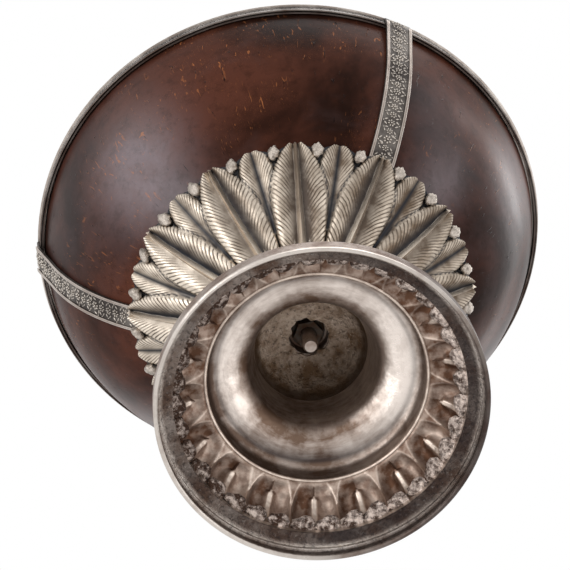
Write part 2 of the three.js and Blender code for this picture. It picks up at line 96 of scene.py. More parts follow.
class Shader:
    """A material's node tree, with short methods for the nodes that the finishes use."""

    def __init__(self, name: str) -> None:
        """Starts a material with one Principled shader.

        Args:
            name: the material's name.
        """
        self.material = bpy.data.materials.new(name)
        self.material.use_nodes = True
        self.tree = self.material.node_tree
        self.principled = self.tree.nodes["Principled BSDF"]
        self.coordinates = self.tree.nodes.new("ShaderNodeTexCoord").outputs["Object"]

    def put(self, value: object, socket: bpy.types.NodeSocket) -> None:
        """Links a socket to an input, or sets the input where the value is plain."""
        if isinstance(value, bpy.types.NodeSocket):
            self.tree.links.new(value, socket)
        else:
            socket.default_value = value

    def set(self, **values: object) -> None:
        """Sets or links the Principled shader's inputs, with _ for each blank in their names."""
        for name, value in values.items():
            self.put(value, self.principled.inputs[name.replace("_", " ")])

    def attribute(self, name: str, vector: bool = False) -> bpy.types.NodeSocket:
        """Reads a piece's own attribute, as a number or as a vector."""
        node = self.tree.nodes.new("ShaderNodeAttribute")
        node.attribute_name = name
        return node.outputs["Vector" if vector else "Fac"]

    def scaled(self, vector: bpy.types.NodeSocket, scale: tuple[float, float, float]) -> bpy.types.NodeSocket:
        """Stretches coordinates."""
        node = self.tree.nodes.new("ShaderNodeVectorMath")
        node.operation = "MULTIPLY"
        self.tree.links.new(vector, node.inputs[0])
        node.inputs[1].default_value = scale
        return node.outputs[0]

    def noise(
        self,
        scale: float,
        detail: float = 3.0,
        roughness: float = 0.5,
        vector: bpy.types.NodeSocket | None = None,
        distortion: float = 0.0,
    ) -> bpy.types.NodeSocket:
        """Adds a noise texture in object coordinates, or in the given ones.

        Args:
            scale: how many waves a metre holds.
            detail: the number of finer octaves.
            roughness: how strong the finer octaves are.
            vector: other coordinates.
            distortion: how far the waves are bent.

        Returns:
            The noise value, around 0.5.
        """
        node = self.tree.nodes.new("ShaderNodeTexNoise")
        self.tree.links.new(vector or self.coordinates, node.inputs["Vector"])
        node.inputs["Scale"].default_value = scale
        node.inputs["Detail"].default_value = detail
        node.inputs["Roughness"].default_value = roughness
        node.inputs["Distortion"].default_value = distortion
        return node.outputs["Fac"]

    def math(self, operation: str, first: object, second: object = 0.0, clamp: bool = False) -> bpy.types.NodeSocket:
        """Adds a Math node."""
        node = self.tree.nodes.new("ShaderNodeMath")
        node.operation = operation
        node.use_clamp = clamp
        self.put(first, node.inputs[0])
        self.put(second, node.inputs[1])
        return node.outputs[0]

    def window(self, value: bpy.types.NodeSocket, low: float, high: float) -> bpy.types.NodeSocket:
        """Maps a value smoothly so that low becomes 0 and high becomes 1."""
        node = self.tree.nodes.new("ShaderNodeMapRange")
        node.interpolation_type = "SMOOTHSTEP"
        self.tree.links.new(value, node.inputs["Value"])
        node.inputs["From Min"].default_value = low
        node.inputs["From Max"].default_value = high
        return node.outputs["Result"]

    def between(self, factor: bpy.types.NodeSocket, low: float, high: float) -> bpy.types.NodeSocket:
        """Maps 0 to low and 1 to high."""
        node = self.tree.nodes.new("ShaderNodeMapRange")
        self.tree.links.new(factor, node.inputs["Value"])
        node.inputs["To Min"].default_value = low
        node.inputs["To Max"].default_value = high
        return node.outputs["Result"]

    def mix(self, factor: bpy.types.NodeSocket, first: object, second: object) -> bpy.types.NodeSocket:
        """Mixes two colours."""
        node = self.tree.nodes.new("ShaderNodeMix")
        node.data_type = "RGBA"
        self.tree.links.new(factor, node.inputs[0])
        self.put(first, node.inputs[6])
        self.put(second, node.inputs[7])
        return node.outputs[2]

    def bump(
        self,
        height: bpy.types.NodeSocket,
        depth: float,
        strength: float = 1.0,
        over: bpy.types.NodeSocket | None = None,
    ) -> bpy.types.NodeSocket:
        """Adds a Bump node.

        Args:
            height: the height, 0 to 1.
            depth: how deep a height of 1 is, in metres.
            strength: how strongly it shows.
            over: the normal of a coarser bump below this one.

        Returns:
            The bumped normal.
        """
        node = self.tree.nodes.new("ShaderNodeBump")
        node.inputs["Distance"].default_value = depth
        node.inputs["Strength"].default_value = strength
        self.tree.links.new(height, node.inputs["Height"])
        if over is not None:
            self.tree.links.new(over, node.inputs["Normal"])
        return node.outputs["Normal"]


@dataclass(frozen=True)
class SilverFinish:
    """Worn silver: bright where hands rub it, brown where it is tarnished, blackened in its grooves.

    A piece's attribute "tarnish" says how far it is darkened brown, 0 to 1, "groove" how far it is
    blackened, "pitted" where it is rough, "vein" and "blade" where a leaf is hatched, and "grain"
    how its turning marks run. On many pieces "tarnish" and "groove" also carry painted shade, and a
    low "tarnish" a painted highlight, besides real tarnish and patina.
    """

    name: str
    bright: Colour = rgb(205, 196, 188)
    tarnished: Colour = rgb(120, 96, 82)
    black: Colour = rgb(44, 40, 42)
    veined: Colour = rgb(150, 130, 108)
    roughness: float = 0.3
    patchiness: float = 0.5
    patch_scale: float = 140.0
    grain: float = 0.5
    pitting: float = 0.0
    hatch: float = 0.0
    turned: float = 0.0

    def build(self) -> bpy.types.Material:
        """Builds the material."""
        shader = Shader(self.name)
        tarnish = self._tarnish(shader)
        colour = shader.mix(tarnish, self.bright, self.tarnished)
        normal = shader.bump(shader.noise(1600, 5, 0.65), 0.0001, 0.5 * self.grain)
        normal = shader.bump(shader.noise(260, 3, 0.5), 0.0008, 0.35 * self.grain, normal)
        if self.hatch:
            colour, normal = self._hatched(shader, colour, normal)
        colour, normal = self._pitted(shader, colour, normal)
        colour = shader.mix(shader.attribute("groove"), colour, self.black)
        scratches = shader.noise(60, 2, 0.5, shader.scaled(shader.coordinates, (1, 9, 9)), 1.5)
        rough = shader.between(tarnish, self.roughness, self.roughness + 0.22)
        rough = shader.math("ADD", rough, shader.between(scratches, -0.06, 0.06), clamp=True)
        shader.set(Metallic=1.0, Base_Color=colour, Roughness=rough, Normal=normal)
        return shader.material

    def _tarnish(self, shader: Shader) -> bpy.types.NodeSocket:
        """Adds patches and spots to the piece's own tarnish."""
        patches = shader.window(shader.noise(self.patch_scale, 6, 0.62), 0.35, 0.68)
        spots = shader.window(shader.noise(900, 4, 0.6), 0.52, 0.75)
        uneven = shader.math("MULTIPLY", shader.math("SUBTRACT", patches, 0.5), self.patchiness)
        tarnish = shader.attribute("tarnish")
        if self.turned:
            marks = shader.noise(1, 5, 0.65, shader.attribute("grain", vector=True), 0.3)
            marks = shader.math("MULTIPLY", shader.math("SUBTRACT", marks, 0.5), self.turned)
            tarnish = shader.math("ADD", tarnish, marks)
        tarnish = shader.math("ADD", tarnish, uneven, clamp=True)
        return shader.math("MAXIMUM", tarnish, shader.math("MULTIPLY", spots, 0.45 * self.patchiness))

    def _hatched(
        self, shader: Shader, colour: bpy.types.NodeSocket, normal: bpy.types.NodeSocket
    ) -> tuple[bpy.types.NodeSocket, bpy.types.NodeSocket]:
        """Cuts the veins into the blades of the leaves."""
        drift = shader.between(shader.noise(420, 2, 0.5), -0.35, 0.35)
        phase = shader.math("ADD", shader.attribute("vein"), drift)
        wave = shader.math("SINE", shader.math("MULTIPLY", phase, 2 * math.pi))
        depth = shader.between(shader.window(shader.noise(330, 3, 0.6), 0.3, 0.65), 0.45, 1.0)
        line = shader.math("MULTIPLY", shader.window(wave, -0.1, 0.95), shader.attribute("blade"))
        line = shader.math("MULTIPLY", line, depth)
        colour = shader.mix(shader.math("MULTIPLY", line, self.hatch), colour, self.veined)
        return colour, shader.bump(shader.math("SUBTRACT", 1.0, line), 0.0002, 0.34, normal)

    def _pitted(
        self, shader: Shader, colour: bpy.types.NodeSocket, normal: bpy.types.NodeSocket
    ) -> tuple[bpy.types.NodeSocket, bpy.types.NodeSocket]:
        """Roughens the piece with dark pits and a few bright specks."""
        amount = shader.math("MAXIMUM", shader.attribute("pitted"), self.pitting)
        coarse = shader.noise(1100, 4, 0.7)
        pits = shader.math("MULTIPLY", shader.window(coarse, 0.52, 0.64), amount)
        specks = shader.math("MULTIPLY", shader.window(shader.noise(1500, 3, 0.6), 0.6, 0.7), amount)
        colour = shader.mix(shader.math("MULTIPLY", pits, 0.55), colour, self.black)
        colour = shader.mix(shader.math("MULTIPLY", specks, 0.5), colour, self.bright)
        height = shader.math("MULTIPLY", shader.math("SUBTRACT", 1.0, coarse), amount)
        return colour, shader.bump(height, 0.0009, 0.8, normal)


@dataclass(frozen=True)
class CoconutFinish:
    """Polished coconut shell: dark red brown with near-black patches, short fibres and orange flecks.

    A piece's polish attribute says where it is glossier and carries a painted sheen, a pale plum-grey
    colour over the shell's own; "fleck" says how full of flecks it is, and "inside" where it is raw.
    """

    name: str = "polished_coconut"
    dark: Colour = rgb(36, 19, 13)
    red: Colour = rgb(98, 57, 44)
    plum: Colour = rgb(84, 66, 65)
    # The painted sheen's pale plum-grey colour.
    painted_sheen: Colour = rgb(132, 115, 121)
    fibre: Colour = rgb(190, 118, 72)
    pit: Colour = rgb(22, 12, 12)
    inside: Colour = rgb(110, 70, 44)
    roughness: float = 0.3

    def build(self) -> bpy.types.Material:
        """Builds the material."""
        shader = Shader(self.name)
        grain = shader.attribute("grain", vector=True)
        broad = shader.window(shader.noise(26, 5, 0.6, distortion=0.4), 0.36, 0.64)
        colour = shader.mix(broad, self.dark, self.red)
        clouds = shader.window(shader.noise(40, 6, 0.65, distortion=0.5), 0.44, 0.66)
        polish_and_sheen = shader.attribute("polish_and_sheen")
        # Plum tint in the clouds, stronger in the painted sheen patches.
        plum = shader.math("MULTIPLY", clouds, shader.between(polish_and_sheen, 0.3, 0.9))
        colour = shader.mix(plum, colour, self.plum)
        # Painted sheen: a pale plum-grey colour mixed in over the sheen patches.
        painted_sheen = shader.math("MULTIPLY", polish_and_sheen, shader.between(clouds, 0.55, 0.85))
        painted_sheen = shader.math("MULTIPLY", painted_sheen, shader.between(shader.noise(520, 5, 0.75), 0.55, 1.5), clamp=True)
        colour = shader.mix(painted_sheen, colour, self.painted_sheen)
        worn = shader.math("MULTIPLY", shader.window(shader.noise(300, 5, 0.7), 0.48, 0.68), 0.35)
        colour = shader.mix(worn, colour, self.dark)
        colour, pits = self._flecked(shader, grain, colour)
        hollow = shader.attribute("inside")
        colour = shader.mix(hollow, colour, shader.mix(broad, self.inside, self.red))
        rough = shader.between(clouds, self.roughness, self.roughness + 0.12)
        rough = shader.math("ADD", rough, shader.math("MULTIPLY", hollow, 0.2))
        normal = shader.bump(shader.noise(120, 4, 0.55), 0.0005, 0.2)
        normal = shader.bump(pits, 0.0002, 0.5, normal)
        shader.set(Base_Color=colour, Roughness=rough, Normal=normal)
        shader.set(Specular_IOR_Level=shader.between(polish_and_sheen, 0.03, 0.75))
        shader.set(Coat_Weight=shader.math("MULTIPLY", polish_and_sheen, 0.5), Coat_Roughness=0.25)
        return shader.material

    def _flecked(
        self, shader: Shader, grain: bpy.types.NodeSocket, colour: bpy.types.NodeSocket
    ) -> tuple[bpy.types.NodeSocket, bpy.types.NodeSocket]:
        """Adds the orange fibres and flecks, the fine scratches and the dark pits."""
        where = shader.window(shader.noise(48, 3, 0.6), 0.42, 0.62)
        where = shader.math("MULTIPLY", where, shader.attribute("fleck"))
        fibres = shader.window(shader.noise(13, 2, 0.5, grain, 1.0), 0.655, 0.7)
        flecks = shader.window(shader.noise(360, 3, 0.6), 0.69, 0.74)
        both = shader.math("MULTIPLY", shader.math("MAXIMUM", fibres, flecks), where)
        colour = shader.mix(shader.math("MULTIPLY", both, 0.75), colour, self.fibre)
        ragged = shader.math("ABSOLUTE", shader.math("SUBTRACT", shader.noise(9, 2, 0.5, grain, 2.5), 0.5))
        scratches = shader.math("SUBTRACT", 1.0, shader.window(ragged, 0.0, 0.005))
        faint = shader.math("MULTIPLY", scratches, shader.math("MULTIPLY", where, 0.5))
        colour = shader.mix(faint, colour, self.fibre)
        pits = shader.window(shader.noise(13, 3, 0.55, grain), 0.66, 0.74)
        return shader.mix(shader.math("MULTIPLY", pits, 0.8), colour, self.pit), pits


@dataclass(frozen=True)
class IronFinish:
    """Dark iron, dull and a little rusty."""

    name: str = "old_iron"
    iron: Colour = rgb(58, 50, 43)
    rust: Colour = rgb(76, 54, 38)

    def build(self) -> bpy.types.Material:
        """Builds the material."""
        shader = Shader(self.name)
        rust = shader.window(shader.noise(700, 5, 0.6), 0.42, 0.62)
        colour = shader.mix(rust, self.iron, self.rust)
        normal = shader.bump(shader.noise(1500, 5, 0.6), 0.0002, 0.6)
        shader.set(Metallic=0.7, Base_Color=colour, Roughness=shader.between(rust, 0.45, 0.8), Normal=normal)
        return shader.material


@dataclass(frozen=True)
class Finishes:
    """All finishes of the cup."""

    bright: bpy.types.Material
    foot: bpy.types.Material
    flare: bpy.types.Material
    neck: bpy.types.Material
    border: bpy.types.Material
    leaf: bpy.types.Material
    ornament: bpy.types.Material
    beads: bpy.types.Material
    rim: bpy.types.Material
    solder: bpy.types.Material
    coconut: bpy.types.Material
    iron: bpy.types.Material

    @classmethod
    def build(cls) -> "Finishes":
        """Builds every material once."""
        foot = SilverFinish("silver_foot", tarnished=rgb(112, 88, 73), patchiness=0.5)
        flare = SilverFinish(
            "silver_flare", bright=rgb(236, 224, 215), tarnished=rgb(114, 93, 79), roughness=0.28,
            patchiness=0.35, patch_scale=150, grain=0.9, turned=0.9,
        )
        neck = SilverFinish(
            "silver_neck", bright=rgb(222, 206, 190), tarnished=rgb(134, 107, 82), black=rgb(42, 30, 23), roughness=0.46,
            patchiness=0.55, patch_scale=330, grain=2.0,
        )
        border = SilverFinish(
            "silver_border", bright=rgb(216, 200, 187), tarnished=rgb(108, 78, 61), black=rgb(48, 36, 31),
            roughness=0.42, patchiness=0.4, patch_scale=420, grain=1.2,
        )
        leaf = SilverFinish(
            "silver_leaf", bright=rgb(232, 219, 203), tarnished=rgb(108, 92, 77), black=rgb(40, 43, 49),
            veined=rgb(78, 67, 57), roughness=0.34, patchiness=0.36, patch_scale=260, hatch=0.95,
        )
        beads = SilverFinish(
            "silver_beads", bright=rgb(186, 176, 166), tarnished=rgb(96, 86, 78), roughness=0.42,
            patchiness=1.2, patch_scale=650, grain=1.5, pitting=0.5,
        )
        rim = SilverFinish(
            "silver_rim", bright=rgb(142, 136, 131), tarnished=rgb(70, 66, 64), roughness=0.38, patchiness=0.8,
        )
        ornament = SilverFinish(
            "silver_ornament", bright=rgb(182, 174, 165), tarnished=rgb(92, 85, 80), roughness=0.36,
            patchiness=0.8,
        )
        solder = SilverFinish(
            "silver_solder", bright=rgb(222, 206, 196), tarnished=rgb(76, 58, 49), roughness=0.4,
            patchiness=1.3, patch_scale=750, grain=2.0, pitting=1.0,
        )
        return cls(
            bright=SilverFinish("silver_bright", roughness=0.24, patchiness=0.35).build(),
            foot=foot.build(),
            flare=flare.build(),
            neck=neck.build(),
            border=border.build(),
            leaf=leaf.build(),
            ornament=ornament.build(),
            beads=beads.build(),
            rim=rim.build(),
            solder=solder.build(),
            coconut=CoconutFinish().build(),
            iron=IronFinish().build(),
        )


def smooth_line(points: list[tuple[float, float]], steps: int) -> Array:
    """Gives evenly stepped points of a smooth line through [radius, height] points.

    Args:
        points: the points that the line passes.
        steps: how many steps the whole line has.

    Returns:
        The line's points, one row each.
    """
    knots = np.array(points, float)
    knots = np.vstack([2 * knots[0] - knots[1], knots, 2 * knots[-1] - knots[-2]])
    spans = len(points) - 1
    line = []
    for where in np.linspace(0, spans, steps + 1):
        k = min(int(where), spans - 1)
        t = where - k
        a, b, c, d = knots[k : k + 4]
        bend = (2 * b + (c - a) * t + (2 * a - 5 * b + 4 * c - d) * t**2 + (3 * b - a - 3 * c + d) * t**3) / 2
        line.append(bend)
    return np.array(line)


def straight_line(points: list[tuple[float, float]], step: float) -> Array:
    """Gives the points of a broken line with extra points between the corners."""
    line = []
    for (r0, z0), (r1, z1) in zip(points, points[1:]):
        count = max(int(math.hypot(r1 - r0, z1 - z0) / step), 1)
        line += [(r0 + (r1 - r0) * i / count, z0 + (z1 - z0) * i / count) for i in range(count)]
    return np.array(line + [points[-1]])


def beside(line: Array, distance: float | Array) -> Array:
    """Moves a line of [radius, height] points to the left of its direction."""
    run = np.gradient(line, axis=0)
    run /= np.linalg.norm(run, axis=1, keepdims=True)
    return line + np.stack([-run[:, 1], run[:, 0]], axis=1) * np.reshape(distance, (-1, 1))


def finished_object(
    name: str,
    vertices: Array,
    faces: list[tuple[int, ...]] | Array,
    values: dict[str, Array],
    material: bpy.types.Material,
    sharp: float = 60.0,
) -> bpy.types.Object:
    """Makes a mesh object, welds its poles and turns its faces outwards.

    Args:
        name: the object's name.
        vertices: one row of metres each.
        faces: vertex numbers of each face.
        values: the attributes of the vertices, numbers or vectors.
        material: the finish.
        sharp: the angle in degrees above which an edge isn't smoothed.

    Returns:
        The new object, linked to the scene.
    """
    mesh = bpy.data.meshes.new(name)
    mesh.from_pydata(vertices.reshape(-1, 3).tolist(), [], [tuple(f) for f in np.asarray(faces).tolist()]
                     if isinstance(faces, np.ndarray) else faces)
    for key, value in values.items():
        kind = "FLOAT_VECTOR" if value.ndim == vertices.ndim else "FLOAT"
        attribute = mesh.attributes.new(key, kind, "POINT")
        attribute.data.foreach_set("vector" if kind == "FLOAT_VECTOR" else "value", value.ravel().astype(np.float32))
    work = bmesh.new()
    work.from_mesh(mesh)
    bmesh.ops.remove_doubles(work, verts=work.verts, dist=2e-6)
    bmesh.ops.recalc_face_normals(work, faces=work.faces)
    work.to_mesh(mesh)
    work.free()
    mesh.shade_smooth()
    mesh.set_sharp_from_angle(angle=math.radians(sharp))
    mesh.materials.append(material)
    piece = bpy.data.objects.new(name, mesh)
    bpy.context.scene.collection.objects.link(piece)
    return piece


def grid_faces(columns: int, rows: int, close_columns: bool, close_rows: bool) -> Array:
    """Gives the quads of a grid of points."""
    c = np.arange(columns if close_columns else columns - 1)
    r = np.arange(rows if close_rows else rows - 1)
    c, r = (part.ravel() for part in np.meshgrid(c, r, indexing="ij"))
    c2 = (c + 1) % columns
    r2 = (r + 1) % rows
    return np.stack([c * rows + r, c2 * rows + r, c2 * rows + r2, c * rows + r2], axis=1)


def ring_object(
    name: str,
    azimuths: Array,
    section: Array,
    values: dict[str, Array],
    material: bpy.types.Material,
    oval: float = 1.0,
    closed: bool = True,
    sharp: float = 60.0,
) -> bpy.types.Object:
    """Makes a turned or formed piece round the Z axis.

    Args:
        name: the piece's name.
        azimuths: where its columns stand.
        section: [radius, height] points, the same for all columns or one set for each column.
        values: the attributes, given like the section without its last axis.
        material: the finish.
        oval: the scale across Y.
        closed: whether the section closes on itself, or ends on the axis.
        sharp: the angle above which an edge isn't smoothed.

    Returns:
        The piece.
    """
    columns = len(azimuths)
    full = np.broadcast_to(section, (columns, *section.shape[-2:]))
    turn = azimuths[:, None]
    points = np.stack(
        [full[..., 0] * np.cos(turn), oval * full[..., 0] * np.sin(turn), full[..., 1]], axis=-1)
    spread = {}
    for key, value in values.items():
        shape = (*points.shape[:2], 3) if value.ndim == 3 and value.shape[-1] == 3 else points.shape[:2]
        spread[key] = np.broadcast_to(value, shape).reshape(-1, *shape[2:])
    faces = grid_faces(columns, full.shape[1], True, closed)
    return finished_object(name, points.reshape(-1, 3), faces, spread, material, sharp)


def turns(count: int, first: float = 0.0) -> Array:
    """Gives evenly spaced azimuths."""
    return first + 2 * np.pi * np.arange(count) / count


def off_nearest(azimuth: Array, first: float, count: int) -> Array:
    """Gives the turn from each azimuth to the nearest of evenly spaced ones."""
    pitch = 2 * np.pi / count
    turn = (azimuth - first) / pitch
    return (turn - np.round(turn)) * pitch


def smoothstep(low: float, high: float, value: Array) -> Array:
    """Rises smoothly from 0 at low to 1 at high."""
    share = np.clip((value - low) / (high - low), 0, 1)
    return share * share * (3 - 2 * share)


@dataclass(frozen=True)
class Leaf:
    """A lance-shaped leaf: a midrib with a straight-sided ridge in a trough, and a puffed blade each side.

    The levels are shares of the leaf's full relief. widest and crest_at are shares of its length and
    of the blade's width.
    """

    half_width: float
    widest: float
    rib: float
    rib_taper: float = 0.85
    trough: float = 0.22
    ridge: float = 1.0
    crest: float = 0.92
    crest_at: float = 0.62
    edge: float = 0.5
    narrowing: float = 0.4
    bluntness: float = 0.55

    def half(self, along: Array, room: Array) -> Array:
        """Gives the half width at each share of the leaf's length, at most the room there."""
        beyond = np.clip((along - self.widest) / (1 - self.widest), 0, 1)
        before = np.clip((self.widest - along) / self.widest, 0, 1)
        width = self.half_width * np.clip(1 - beyond**2, 0, 1) ** self.bluntness * (1 - self.narrowing * before)
        return np.minimum(width, room)

    def place(self, along: Array, aside: Array, room: Array) -> Array:
        """Gives where points lie across the leaf.

        Args:
            along: 0 at the leaf's base and 1 at its tip.
            aside: the distance from the midline.
            room: the most that the half width may be there.

        Returns:
            -1 on the midline, 0 at the midrib's edge, 1 at the leaf's edge and more outside it.
        """
        half = self.half(along, room)
        rib = np.minimum(self.rib * (1 - self.rib_taper * np.clip(along, 0, 1)), 0.6 * half + 1e-9)
        return np.where(aside < rib, aside / rib - 1, (aside - rib) / np.maximum(half - rib, 1e-9))

    def height(self, place: Array) -> Array:
        """Gives the relief, 0 beside the leaf and up to 1 on it."""
        rise = np.clip(place / self.crest_at, 0, 1)
        fall = np.clip((place - self.crest_at) / (1 - self.crest_at), 0, 1)
        blade = self.trough + (self.crest - self.trough) * np.sin(np.pi / 2 * rise) ** 1.4
        blade = (blade - (self.crest - self.edge) * fall**2) * (1 - smoothstep(0.94, 1.0, place))
        ridge = self.trough - (self.ridge - self.trough) * np.clip(place, -1, 0)
        return np.where(place < 0, ridge, blade)

    def veined(self, place: Array) -> Array:
        """Gives how far each point is veined blade."""
        return smoothstep(0.1, 0.4, place) * (1 - smoothstep(0.95, 1.0, place))


@dataclass(frozen=True)
class LeafWearAndShade:
    """How the calyx's leaves are tarnished, with painted shade: each leaf is painted darker on its side towards one
    azimuth, and in the valley beside its midrib.
    """

    shaded_azimuth: float = math.radians(285)
    brown_azimuth: float = math.radians(-10)
    line: float = 0.4 * MM

    def large(self, azimuths: Array, turn: Array, place: Array) -> tuple[Array, Array]:
        """Gives the tarnish and the blackening of the large leaves, with painted shade on one side of each leaf and in
        the valley beside its midrib.

        Args:
            azimuths: one for each column.
            turn: the turn from the nearest leaf's midline to each column.
            place: where each point lies across the leaf.
        """
        # side is 1 on the side of a leaf that is painted in shade, and -1 on the other.
        side = (np.sin(self.shaded_azimuth - (azimuths - turn)) * np.sign(turn))[:, None]
        # Leaves are browner and darker towards one azimuth.
        brown = 0.24 + 0.26 * np.cos(azimuths - self.brown_azimuth)[:, None]
        inner = np.clip(1 - place, 0, 1)
        blade = (0.72 + 0.28 * side) * inner**1.2 + brown
        # The midrib is bright; a facet on its shaded side is painted darker as shade.
        facet = smoothstep(0.1, 0.4, place + 1) * (1 - smoothstep(0.75, 0.9, place + 1)) * (side > 0)
        edge = smoothstep(-0.22, 0.0, place)
        worn = 0.25 * facet - 0.65
        tarnish = np.where(place < 0, worn * (1 - edge) + (0.72 + 0.28 * side + brown) * edge, blade)
        # Painted shade: the valley beside the midrib is blackened, most on the shaded side.
        level = np.clip(0.6 + 0.4 * side, 0.25, 1)
        valley = level * (1 - smoothstep(0.05, 0.6, place))
        groove = np.where(place < 0, level * edge, valley)
        return tarnish, groove

    def small(self, azimuths: Array, along: Array, place: Array) -> tuple[Array, Array]:
        """Gives the tarnish and the blackening of the small leaves."""
        brown = 0.22 + 0.2 * np.cos(azimuths - self.brown_azimuth)[:, None]
        tarnish = 0.6 * np.clip(1 - place, 0, 1) + brown
        middle = 0.95 * (1 - smoothstep(-0.1, 0.3, place))
        return tarnish, np.maximum(middle, 0.6 * (1 - smoothstep(0.4, 0.75, along)))


@dataclass(frozen=True)
class BowlForm:
    """The outside of the coconut shell: a superellipse of revolution, a little oval."""

    radius: float
    depth: float
    equator: float
    oval: float = 0.955
    power: float = 1.89
    clearance: float = 0.3 * MM

    @classmethod
    def from_frame(cls, cut: float = 2.4 * MM) -> "BowlForm":
        """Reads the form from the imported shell, which is cut a little below its equator."""
        low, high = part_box("coconut_shell")
        equator = high[2] + cut
        depth = equator - low[2]
        power = cls.power
        radius = high[0] / (1 - (cut / depth) ** power) ** (1 / power)
        return cls(radius=radius, depth=depth, equator=equator)

    def point(self, slope: Array, outwards: Array | float = 0.0) -> Array:
        """Gives [radius, height] points of the outside, moved out along its normal.

        Args:
            slope: 0 at the equator and a quarter turn at the bottom.
            outwards: the distance along the normal.

        Returns:
            The points, one for each slope.
        """
        slope = np.asarray(slope, float)
        r = self.radius * np.clip(np.cos(slope), 0, 1) ** (2 / self.power)
        drop = self.depth * np.clip(np.sin(slope), 0, 1) ** (2 / self.power)
        nr = r ** (self.power - 1) / self.radius**self.power
        nz = drop ** (self.power - 1) / self.depth**self.power
        length = np.hypot(nr, nz)
        return np.stack([r + outwards * nr / length, self.equator - drop - outwards * nz / length], axis=-1)

    def slope_at_radius(self, radius: float) -> float:
        """Gives the slope at which the outside has a radius."""
        return math.acos(min(radius / self.radius, 1) ** (self.power / 2))

    def slope_at_drop(self, drop: float) -> float:
        """Gives the slope at which the outside is so far below the equator."""
        return math.asin(min(drop / self.depth, 1) ** (self.power / 2))


